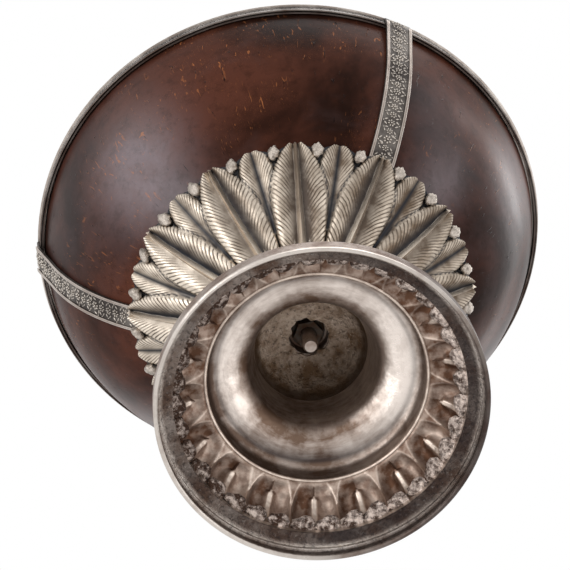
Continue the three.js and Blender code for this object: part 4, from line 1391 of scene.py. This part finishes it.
@dataclass(frozen=True)
class Calyx:
    """The leaf calyx: large leaves, small leaves behind them, and a bead in each notch of the edge."""

    form: BowlForm
    leaves: int = 12
    azimuth: float = math.radians(8.8)
    wall: float = 1 * MM
    tip_radius: float = 35.4 * MM
    seat_radius: float = 7.2 * MM
    hole: float = 1.7 * MM
    notch: float = 2.6 * MM
    bead: float = 1.4 * MM
    bead_inset: float = 1.1 * MM
    relief: float = 1.5 * MM
    tip_reach: float = 0.985
    small_level: float = 0.62
    vein_pitch: float = 1.02 * MM
    vein_slant: float = 2.1
    vein_bend: float = 0.13 / MM
    large_leaf: Leaf = Leaf(half_width=6 * MM, widest=0.62, rib=1.2 * MM, rib_taper=0.62)
    small_leaf: Leaf = Leaf(half_width=3.6 * MM, widest=0.86, rib=0.4 * MM, ridge=0.1, trough=0.15, narrowing=0.0)
    crowding: float = 0.5
    columns_per_leaf: int = 60
    rows: int = 116
    inner_rows: int = 8

    def edge_slope(self, azimuths: Array) -> Array:
        """Gives the slope of the scalloped edge: lowest in each notch between two tips."""
        pitch = math.pi / self.leaves
        lobe = np.abs(off_nearest(azimuths, self.azimuth, 2 * self.leaves)) / (pitch / 2)
        fall = self.notch * (1 - np.sqrt(1 - np.minimum(lobe, 1) ** 2))
        return self.form.slope_at_radius(self.tip_radius) + fall / self.form.depth

    def build(self, finish: bpy.types.Material, rough: bpy.types.Material) -> None:
        """Builds the calyx and its beads."""
        azimuths = turns(self.leaves * self.columns_per_leaf, self.azimuth)
        azimuths = azimuths - self.crowding / self.leaves * np.sin(self.leaves * (azimuths - self.azimuth))
        seat = self.form.slope_at_radius(self.seat_radius)
        edge = self.edge_slope(azimuths)[:, None]
        slope = seat + (edge - seat) * np.linspace(0, 1, self.rows)[None, :]
        level, values = self._leaves(azimuths, slope, seat)
        rise = self.relief * level * (slope < seat)
        outside = self.form.point(slope, self.form.clearance + self.wall + rise)
        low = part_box("leaf_calyx")[0][2]
        floor = np.array([(self.hole, low + self.wall), (self.hole, low), (self.seat_radius, low)])
        back = seat + (edge - seat) * np.linspace(1, 0, self.inner_rows)[None, :]
        inside = self.form.point(back, self.form.clearance)
        columns = len(azimuths)
        section = np.concatenate([np.broadcast_to(floor, (columns, *floor.shape)), outside, inside], axis=1)
        ends = ((0, 0), (len(floor), self.inner_rows))
        values = {key: np.pad(value, ends) for key, value in values.items()}
        cup = ring_object("calyx", azimuths, section, values, finish, oval=self.form.oval, sharp=80)
        shown(cup, Slot.SILVER_LEAF, "leaf_calyx")
        self._beads(rough)

    def _leaves(self, azimuths: Array, slope: Array, seat: float) -> tuple[Array, dict[str, Array]]:
        """Gives the relief of the leaves and their attributes.

        Args:
            azimuths: one for each column.
            slope: the slope of each point, column by column.
            seat: the slope at which the leaves start.
        """
        tip = self.form.slope_at_radius(self.tip_radius)
        along = self.tip_reach * (slope - seat) / (tip - seat)
        radius = self.form.point(slope, self.form.clearance + self.wall)[..., 0]
        pitch = math.pi / self.leaves
        turn = off_nearest(azimuths, self.azimuth, self.leaves)
        large = np.abs(turn)[:, None] * radius
        small = np.abs(off_nearest(azimuths, self.azimuth + pitch, self.leaves))[:, None] * radius
        room = 0.985 * pitch * radius
        place = self.large_leaf.place(along, large, room)
        behind_place = self.small_leaf.place(along, small, room)
        height = self.large_leaf.height(place)
        behind = self.small_level * self.small_leaf.height(behind_place)
        front = height >= behind
        level = np.maximum(height, behind)
        wear_and_shade = LeafWearAndShade()
        tarnish, groove = (
            np.where(front, a, b) for a, b in
            zip(wear_and_shade.large(azimuths, turn, place), wear_and_shade.small(azimuths, along, behind_place)))
        # Painted shadow beside each large leaf's outline, and painted shade on the low ground between the leaves.
        beside_leaf = large - self.large_leaf.half(along, room)
        shadow = 0.9 * (1 - smoothstep(0.2 * wear_and_shade.line, 1.6 * wear_and_shade.line, beside_leaf)) * (beside_leaf > 0)
        ground = 1 - smoothstep(0.04, 0.3, level)
        length = self.form.depth * (seat - tip)
        aside = np.where(front, large, small)
        vein = along * length - self.vein_slant * aside + self.vein_bend * aside**2
        return level, {
            "tarnish": np.clip(tarnish, -0.5, 1),
            "groove": np.clip(np.maximum(np.maximum(groove, shadow), ground), 0, 0.97),
            "vein": vein / self.vein_pitch,
            "blade": np.where(front, self.large_leaf.veined(place), self.small_leaf.veined(behind_place)),
        }

    def _beads(self, finish: bpy.types.Material) -> None:
        """Sets a rough bead in each notch."""
        pitch = math.pi / self.leaves
        where = turns(2 * self.leaves, self.azimuth + pitch / 2)
        slope = self.edge_slope(where) - self.bead_inset / self.form.depth
        ring = self.form.point(slope, self.form.clearance + self.bead)
        across = self.form.oval * ring[:, 0] * np.sin(where)
        places = np.stack([ring[:, 0] * np.cos(where), across, ring[:, 1]], axis=1)
        facing = np.stack([np.cos(where), np.sin(where), -0.7 + 0 * where], axis=1)
        along = np.stack([-np.sin(where), np.cos(where), 0 * where], axis=1)
        pattern = MotifPattern("bead_pattern", scale_spread=0.1, turn_spread=0.5, seed=5)
        motif = lump(1.95 * self.bead, 2.3 * self.bead, 1.8 * self.bead)
        shown(pattern.cover("calyx_beads", places, facing, along, motif, finish), Slot.SILVER_LEAF)


@dataclass(frozen=True)
class SheenAndPolishPatch:
    """A patch of the shell with a painted sheen and more gloss."""

    azimuth: float
    drop: float
    reach: float
    amount: float

    def amounts(self, azimuths: Array, drops: Array, radius: float) -> Array:
        """Gives how strong the patch's painted sheen and gloss are at each point of the shell."""
        across = off_nearest(azimuths, math.radians(self.azimuth), 1)[:, None] * radius
        return self.amount * np.exp(-(across**2 + (drops - self.drop) ** 2) / self.reach**2)


@dataclass(frozen=True)
class CoconutShell:
    """The polished half coconut shell."""

    form: BowlForm
    wall: float = 4 * MM
    columns: int = 256
    rows: int = 110
    grain_radius: float = 5.0
    grain_length: float = 40 * MM
    flecked_side: float = math.radians(275)
    # The patches of painted sheen and gloss.
    patches: tuple[SheenAndPolishPatch, ...] = (
        SheenAndPolishPatch(233, 30 * MM, 12 * MM, 1.0),
        SheenAndPolishPatch(225, 34 * MM, 11 * MM, 0.3),
        SheenAndPolishPatch(205, 21 * MM, 12 * MM, 0.08),
        SheenAndPolishPatch(319, 25 * MM, 10 * MM, 0.25),
        SheenAndPolishPatch(331, 38 * MM, 9 * MM, 0.6),
        SheenAndPolishPatch(352, 18 * MM, 11 * MM, 0.35),
        SheenAndPolishPatch(60, 26 * MM, 16 * MM, 0.5),
        SheenAndPolishPatch(130, 30 * MM, 14 * MM, 0.5),
    )

    def build(self, finish: bpy.types.Material) -> bpy.types.Object:
        """Builds the shell from its pole to its cut edge and back to the pole inside."""
        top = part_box("coconut_shell")[1][2]
        cut = self.form.slope_at_drop(self.form.equator - top)
        slope = np.linspace(math.pi / 2, cut, self.rows)
        outside = self.form.point(slope)
        inside = self.form.point(slope, -self.wall)[::-1]
        inside[0] = (outside[-1][0] - self.wall, top)
        section = np.concatenate([outside, inside])
        section[(0, -1), 0] = 0
        azimuths = turns(self.columns)
        run = np.concatenate([slope, slope[::-1]]) * self.form.depth / self.grain_length
        around = self.grain_radius * np.stack([np.cos(azimuths), np.sin(azimuths)], axis=1)
        shape = (self.columns, len(run))
        grain = np.concatenate([
            np.broadcast_to(around[:, None, :], (*shape, 2)),
            np.broadcast_to(run[None, :, None], (*shape, 1)),
        ], axis=-1)
        drops = self.form.equator - section[None, :, 1]
        polish_and_sheen = sum(patch.amounts(azimuths, drops, self.form.radius) for patch in self.patches)
        inner = np.concatenate([0 * slope, 1 + 0 * slope])
        flecked = 0.55 + 0.45 * np.cos(azimuths - self.flecked_side)[:, None]
        values = {"grain": grain, "inside": inner, "polish_and_sheen": np.clip(polish_and_sheen, 0, 1), "fleck": flecked}
        piece = ring_object(
            "coconut", azimuths, section, values, finish, oval=self.form.oval, closed=False)
        return shown(piece, Slot.COCONUT, "coconut_shell")


@dataclass(frozen=True)
class RimMount:
    """The rim mount: sleeve, lip and liner in one piece, the ornamented band and the wire below it."""

    form: BowlForm
    sleeve_wall: float = 0.3 * MM
    sleeve_gap: float = 0.2 * MM
    solder_gap: float = 0.1 * MM
    liner_wall: float = 0.6 * MM
    liner_depth: float = 9 * MM
    shell_wall: float = 4 * MM
    lip: float = 0.5 * MM
    skirt: float = 0.3 * MM
    fillet: float = 0.3 * MM
    ground_depth: float = 0.2 * MM
    ornament: float = 0.72 * MM
    columns: int = 300

    def build(self, bright: bpy.types.Material, ornament: bpy.types.Material) -> None:
        """Builds the three pieces."""
        self._sleeve(bright)
        self._band(ornament)
        self._wire(bright)

    def _sleeve(self, finish: bpy.types.Material) -> None:
        """Builds the sleeve with its rolled lip and its liner."""
        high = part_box("rim_sleeve")[1]
        shell_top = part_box("coconut_shell")[1][2]
        cap = shell_top + self.sleeve_gap
        cut = self.form.equator - shell_top
        inside = self.form.radius + self.sleeve_gap
        outside = inside + self.sleeve_wall
        edge = float(self.form.point(self.form.slope_at_drop(cut))[0])
        liner = edge - self.shell_wall - self.form.clearance
        foot = float(self.form.point(self.form.slope_at_drop(self.liner_depth + cut), -self.shell_wall)[0])
        liner_low = min(liner, foot - self.form.clearance)
        lip_middle = high[0] - self.lip
        lip_bottom = cap + self.solder_gap
        lip_rise = high[2] - lip_bottom
        turn = np.linspace(0, np.pi, 17)
        lip = [(lip_middle + self.lip * math.cos(t), lip_bottom + lip_rise * math.sin(t)) for t in turn]
        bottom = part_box("rim_wire")[0][2] - self.skirt
        corners = [
            (inside, bottom), (outside, bottom), (outside, cap), *lip,
            (liner - self.liner_wall, cap + self.liner_wall), (liner_low - self.liner_wall, cap - self.liner_depth),
            (liner_low, cap - self.liner_depth), (liner, cap), (inside, cap), (inside, bottom),
        ]
        line = straight_line(corners, 0.8 * MM)[:-1]
        # Painted shade: the sleeve's skirt under the band is painted dark.
        skirt = (line[:, 1] < cap - self.skirt) * (line[:, 0] > inside - self.solder_gap)
        values = {"tarnish": 0.25 + 0.55 * skirt, "groove": 0.7 * skirt}
        azimuths = turns(self.columns)
        piece = ring_object("rim_sleeve_and_lip", azimuths, line, values, finish, oval=self.form.oval, sharp=40)
        shown(piece, Slot.SILVER, "rim_sleeve")

    def _band(self, finish: bpy.types.Material) -> None:
        """Builds the band, two fillets with a sunk ground between them, and its rolled ornament."""
        low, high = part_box("rim_band")
        outside = high[0]
        inside = self.form.radius + self.sleeve_gap + self.sleeve_wall + self.solder_gap
        ground = outside - self.ground_depth
        bottom, top = low[2], high[2]
        line = straight_line([
            (inside, bottom), (outside, bottom), (outside, bottom + self.fillet),
            (ground, bottom + 1.3 * self.fillet), (ground, top - 1.3 * self.fillet),
            (outside, top - self.fillet), (outside, top), (inside, top), (inside, bottom),
        ], 0.3 * MM)[:-1]
        sunk = smoothstep(outside - 0.02 * MM, ground + 0.02 * MM, line[:, 0]) * (line[:, 0] > inside + 0.05 * MM)
        band = ring_object("rim_band_ground", turns(self.columns), line,
                           {"tarnish": 0.2 + 0.5 * sunk, "groove": 0.5 * sunk}, finish,
                           oval=self.form.oval, sharp=40)
        shown(band, Slot.SILVER_DARK, "rim_band")
        where = turns(round(2 * math.pi * outside / (2.7 * self.ornament)))
        radial = np.stack([np.cos(where), self.form.oval * np.sin(where), 0 * where], axis=1)
        places = radial * ground + [0, 0, (bottom + top) / 2]
        along = np.stack([-np.sin(where), np.cos(where), 0 * where], axis=1)
        pattern = MotifPattern("band_pattern", scale_spread=0.07, turn_spread=0.25, seed=9)
        cover = pattern.cover("rim_band_ornament", places, radial, along, rosette(self.ornament), finish)
        shown(cover, Slot.SILVER_DARK)

    def _wire(self, finish: bpy.types.Material) -> None:
        """Builds the wire under the band."""
        low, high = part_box("rim_wire")
        size = (high[2] - low[2]) / 2
        section = circle(high[0] - size, (low[2] + high[2]) / 2, size, 20)
        dark = {"tarnish": np.full(len(section), 0.7), "groove": np.full(len(section), 0.6)}
        wire = ring_object("rim_edge_wire", turns(self.columns), section, dark, finish, oval=self.form.oval)
        shown(wire, Slot.SILVER, "rim_wire")


@dataclass(frozen=True)
class Strap:
    """One strap with its two edge wires and its rolled ornament, from under a leaf to the lip."""

    form: BowlForm
    number: int
    calyx_azimuth: float
    rim_azimuth: float
    width: float = 6 * MM
    thickness: float = 0.4 * MM
    wire_width: float = 0.7 * MM
    wire_height: float = 0.25 * MM
    gap: float = 0.1 * MM
    ramp: float = 8 * MM
    skirt: float = 0.3 * MM
    start_radius: float = 33.6 * MM
    ornament: float = 1.27 * MM
    ornament_pitch: float = 2.2 * MM
    shell_steps: int = 70

    def line(self) -> Array:
        """Gives the line that the strap's back follows, as [radius, height] points."""
        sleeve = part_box("rim_wire")[0][2] - self.skirt
        band_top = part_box("rim_band")[1][2]
        seat = max(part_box("rim_wire")[1][0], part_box("rim_band")[1][0]) + self.gap
        start = self.form.slope_at_radius(self.start_radius)
        end = self.form.slope_at_drop(self.form.equator - sleeve + self.ramp)
        shell = self.form.point(np.linspace(start, end, self.shell_steps), self.form.clearance)
        corners = [tuple(shell[-1]), (seat, sleeve), (seat, band_top - self.gap)]
        line = np.concatenate([shell[:-1], straight_line(corners, 0.45 * MM)])
        for _ in range(3):
            line[1:-1] = (line[:-2] + 2 * line[1:-1] + line[2:]) / 4
        return line

    def azimuths(self, line: Array) -> Array:
        """Gives the azimuth along a line, from the calyx to the rim."""
        run = run_along(line)
        return self.calyx_azimuth + (self.rim_azimuth - self.calyx_azimuth) * run / run[-1]

    def placed(self, line: Array, azimuths: Array, side: float) -> Array:
        """Turns [radius, height] points into places beside the strap's middle."""
        cos, sin = np.cos(azimuths), np.sin(azimuths)
        x = line[:, 0] * cos - side * sin
        y = line[:, 0] * sin + side * cos
        return np.column_stack([x, self.form.oval * y, line[:, 1]])

    def bar(
        self,
        name: str,
        outline: list[tuple[float, float]],
        values: dict[str, float],
        finish: bpy.types.Material,
        top: float = 0.0,
    ) -> bpy.types.Object:
        """Sweeps an outline along the strap and closes its ends.

        Args:
            name: the new object's name.
            outline: (aside, above the strap's back) points.
            values: attributes, the same all over.
            finish: the finish.
            top: the height at which it ends, where it ends before the strap does.

        Returns:
            The bar.
        """
        line = self.line()
        azimuths = self.azimuths(line)
        kept = line[:, 1] <= (top or line[-1, 1])
        line, azimuths = line[kept], azimuths[kept]
        rails = [self.placed(beside(line, -above), azimuths, side) for side, above in outline]
        points = np.stack(rails, axis=1)
        stations, corners = points.shape[:2]
        faces = [tuple(face) for face in grid_faces(stations, corners, False, True).tolist()]
        faces += [tuple(range(corners)), tuple((stations - 1) * corners + k for k in range(corners))]
        spread = {key: np.full(stations * corners, value) for key, value in values.items()}
        return finished_object(name, points.reshape(-1, 3), faces, spread, finish, sharp=50)

    def build(self, bright: bpy.types.Material, ornament: bpy.types.Material) -> None:
        """Builds the strap, its wires and its ornament."""
        half = self.width / 2
        node = f"strap_{self.number}"
        plate = [(-half, 0), (half, 0), (half, self.thickness), (-half, self.thickness)]
        strip = self.bar(f"{node}_strip", plate, {"tarnish": 0.75, "groove": 0.55}, ornament)
        shown(strip, Slot.SILVER_DARK, node)
        seat = self.thickness + self.gap
        steps = np.linspace(0, 1, 13)
        crown = seat + self.wire_height * (0.4 + 0.6 * np.abs(np.sin(2 * np.pi * steps)) ** 0.7)
        under_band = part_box("rim_band")[0][2]
        for side, word in ((-1, "right"), (1, "left")):
            outer = side * half
            inner = side * (half - self.wire_width)
            outline = [(outer, seat), *zip(outer + (inner - outer) * steps, crown), (inner, seat)]
            worn = {"tarnish": 0.3, "groove": 0.1}
            wire = self.bar(f"{node}_{word}_edge", outline, worn, bright, under_band)
            shown(wire, Slot.SILVER, f"{node}_{word}_wire")
        self._ornament(node, ornament)

    def _ornament(self, node: str, finish: bpy.types.Material) -> None:
        """Sets the rosettes along the strap's middle."""
        line = beside(self.line(), -self.thickness)
        run = run_along(line)
        count = round(run[-1] / self.ornament_pitch)
        stops = (np.arange(count) + 0.5) / count * run[-1]
        spots = np.stack([np.interp(stops, run, line[:, k]) for k in (0, 1)], axis=1)
        ahead = np.stack([np.interp(stops + self.gap, run, line[:, k]) for k in (0, 1)], axis=1)
        azimuths = np.interp(stops, run, self.azimuths(line))
        places = self.placed(spots, azimuths, 0.0)
        along = self.placed(ahead, azimuths, 0.0) - places
        along /= np.linalg.norm(along, axis=1, keepdims=True)
        aside = np.stack([-np.sin(azimuths), np.cos(azimuths), 0 * azimuths], axis=1)
        facing = np.cross(aside, along)
        facing *= np.sign((facing[:, :2] * places[:, :2]).sum(axis=1, keepdims=True))
        pattern = MotifPattern(f"{node}_pattern", scale_spread=0.2, turn_spread=0.5, seed=20 + self.number)
        cover = pattern.cover(f"{node}_ornament", places, facing, aside, rosette(self.ornament), finish)
        shown(cover, Slot.SILVER_DARK)


def run_along(line: Array) -> Array:
    """Gives the distance along a line up to each of its points."""
    return np.concatenate([[0], np.cumsum(np.linalg.norm(np.diff(line, axis=0), axis=1))])


@dataclass(frozen=True)
class PhotoCamera:
    """The photograph's camera, below the cup and a little in front of it."""

    place: tuple[float, float, float] = (7.10 * MM, -355.35 * MM, -827.25 * MM)
    azimuth: float = math.radians(1.61)
    elevation: float = math.radians(-68.36)
    roll: float = math.radians(-10.63)
    lens: float = 284.2
    sensor: float = 36.0

    def build(self) -> bpy.types.Object:
        """Makes the camera and sets it as the scene's camera."""
        right = Vector((math.cos(self.azimuth), math.sin(self.azimuth), 0))
        back = Vector((math.sin(self.azimuth) * math.cos(self.elevation),
                       -math.cos(self.azimuth) * math.cos(self.elevation), math.sin(self.elevation)))
        up = back.cross(right)
        turned_right = math.cos(self.roll) * right + math.sin(self.roll) * up
        turned_up = back.cross(turned_right)
        data = bpy.data.cameras.new("photo_camera")
        data.lens = self.lens
        data.sensor_width = self.sensor
        data.clip_end = 20
        camera = bpy.data.objects.new("photo_camera", data)
        axes = Matrix((turned_right, turned_up, back)).transposed().to_4x4()
        camera.matrix_world = Matrix.Translation(self.place) @ axes
        bpy.context.scene.collection.objects.link(camera)
        bpy.context.scene.camera = camera
        return camera


@dataclass(frozen=True)
class Lamp:
    """A soft lamp that shines on the cup, square or in the form of a level strip."""

    name: str
    place: tuple[float, float, float]
    width: float
    height: float
    power: float

    def build(self, target: Vector) -> bpy.types.Object:
        """Makes the lamp."""
        data = bpy.data.lights.new(self.name, "AREA")
        data.shape = "RECTANGLE"
        data.size = self.width
        data.size_y = self.height
        data.energy = self.power
        lamp = bpy.data.objects.new(self.name, data)
        lamp.location = self.place
        lamp.rotation_euler = (target - Vector(self.place)).to_track_quat("-Z", "Y").to_euler()
        bpy.context.scene.collection.objects.link(lamp)
        return lamp


@dataclass(frozen=True)
class Studio:
    """The white ground, the white surroundings and the lamps."""

    floor_size: float = 4.0
    ground: Colour = (0.9, 0.9, 0.9, 1.0)
    ambient: float = 0.42
    lamps: tuple[Lamp, ...] = (
        Lamp("key", (-0.75, -0.75, -0.75), 0.7, 0.7, 5.5),
        Lamp("glint", (-0.67, -0.13, -0.86), 0.3, 0.3, 1.0),
        Lamp("fill", (0.85, 0.1, -0.8), 1.0, 1.0, 3.5),
        Lamp("over", (0.4, -0.6, 1.2), 0.9, 0.9, 6.0),
        Lamp("strip", (0.77, 0.3, 0.71), 1.2, 0.14, 2.8),
    )

    def build(self) -> None:
        """Builds the studio around the cup."""
        bpy.context.scene.view_settings.view_transform = "Standard"
        self._floor()
        self._world()
        low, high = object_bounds()
        for lamp in self.lamps:
            lamp.build((low + high) / 2)

    def _floor(self) -> None:
        """Makes the ground, which can be seen only from above, so that the cup shows from below."""
        half = self.floor_size / 2
        mesh = bpy.data.meshes.new("ground")
        mesh.from_pydata([(-half, -half, 0), (half, -half, 0), (half, half, 0), (-half, half, 0)], [], [(0, 1, 2, 3)])
        ground = bpy.data.objects.new("ground", mesh)
        bpy.context.scene.collection.objects.link(ground)
        material = bpy.data.materials.new("white_ground")
        material.use_nodes = True
        nodes, links = material.node_tree.nodes, material.node_tree.links
        nodes["Principled BSDF"].inputs["Base Color"].default_value = self.ground
        nodes["Principled BSDF"].inputs["Roughness"].default_value = 0.8
        clear = nodes.new("ShaderNodeBsdfTransparent")
        side = nodes.new("ShaderNodeNewGeometry")
        mix = nodes.new("ShaderNodeMixShader")
        links.new(side.outputs["Backfacing"], mix.inputs["Fac"])
        links.new(nodes["Principled BSDF"].outputs["BSDF"], mix.inputs[1])
        links.new(clear.outputs["BSDF"], mix.inputs[2])
        links.new(mix.outputs["Shader"], nodes["Material Output"].inputs["Surface"])
        mesh.materials.append(material)
        ground.visible_diffuse = False
        ground.visible_glossy = False
        ground.visible_transmission = False
        ground.visible_shadow = False
        ground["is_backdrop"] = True

    def _world(self) -> None:
        """Makes surroundings that are white to look at and that light the cup at a plain level."""
        world = bpy.data.worlds.new("studio")
        bpy.context.scene.world = world
        world.use_nodes = True
        nodes, links = world.node_tree.nodes, world.node_tree.links
        light = nodes["Background"]
        light.inputs["Color"].default_value = (1, 1, 1, 1)
        light.inputs["Strength"].default_value = self.ambient
        white = nodes.new("ShaderNodeBackground")
        white.inputs["Color"].default_value = (1, 1, 1, 1)
        white.inputs["Strength"].default_value = 1
        path = nodes.new("ShaderNodeLightPath")
        seen = path.outputs["Is Camera Ray"]
        for ray in ("Is Glossy Ray", "Is Transmission Ray"):
            either = nodes.new("ShaderNodeMath")
            either.operation = "MAXIMUM"
            links.new(seen, either.inputs[0])
            links.new(path.outputs[ray], either.inputs[1])
            seen = either.outputs[0]
        mix = nodes.new("ShaderNodeMixShader")
        links.new(seen, mix.inputs["Fac"])
        links.new(light.outputs["Background"], mix.inputs[1])
        links.new(white.outputs["Background"], mix.inputs[2])
        links.new(mix.outputs["Shader"], nodes["World Output"].inputs["Surface"])


STRAPS = ((68.0, 68.0), (185.4, 188.5), (309.4, 306.2))


def main() -> None:
    """Builds the cup from the table upwards, then the studio and the camera."""
    logging.basicConfig(level=logging.INFO, format="%(name)s %(message)s")
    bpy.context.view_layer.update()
    finishes = Finishes.build()
    form = BowlForm.from_frame()
    FootBase().build(finishes.foot)
    LeafBorder().build(finishes.border, finishes.solder)
    Trumpet().build(finishes.flare)
    StemDome().build(finishes.neck)
    StemCollar().build(finishes.foot)
    Fastening().build(finishes)
    Calyx(form).build(finishes.leaf, finishes.beads)
    CoconutShell(form).build(finishes.coconut)
    RimMount(form).build(finishes.foot, finishes.rim)
    for number, (calyx, rim) in enumerate(STRAPS, 1):
        strap = Strap(form, number, math.radians(calyx), math.radians(rim))
        strap.build(finishes.bright, finishes.ornament)
    PhotoCamera().build()
    Studio().build()


if __name__ == "__main__":
    main()
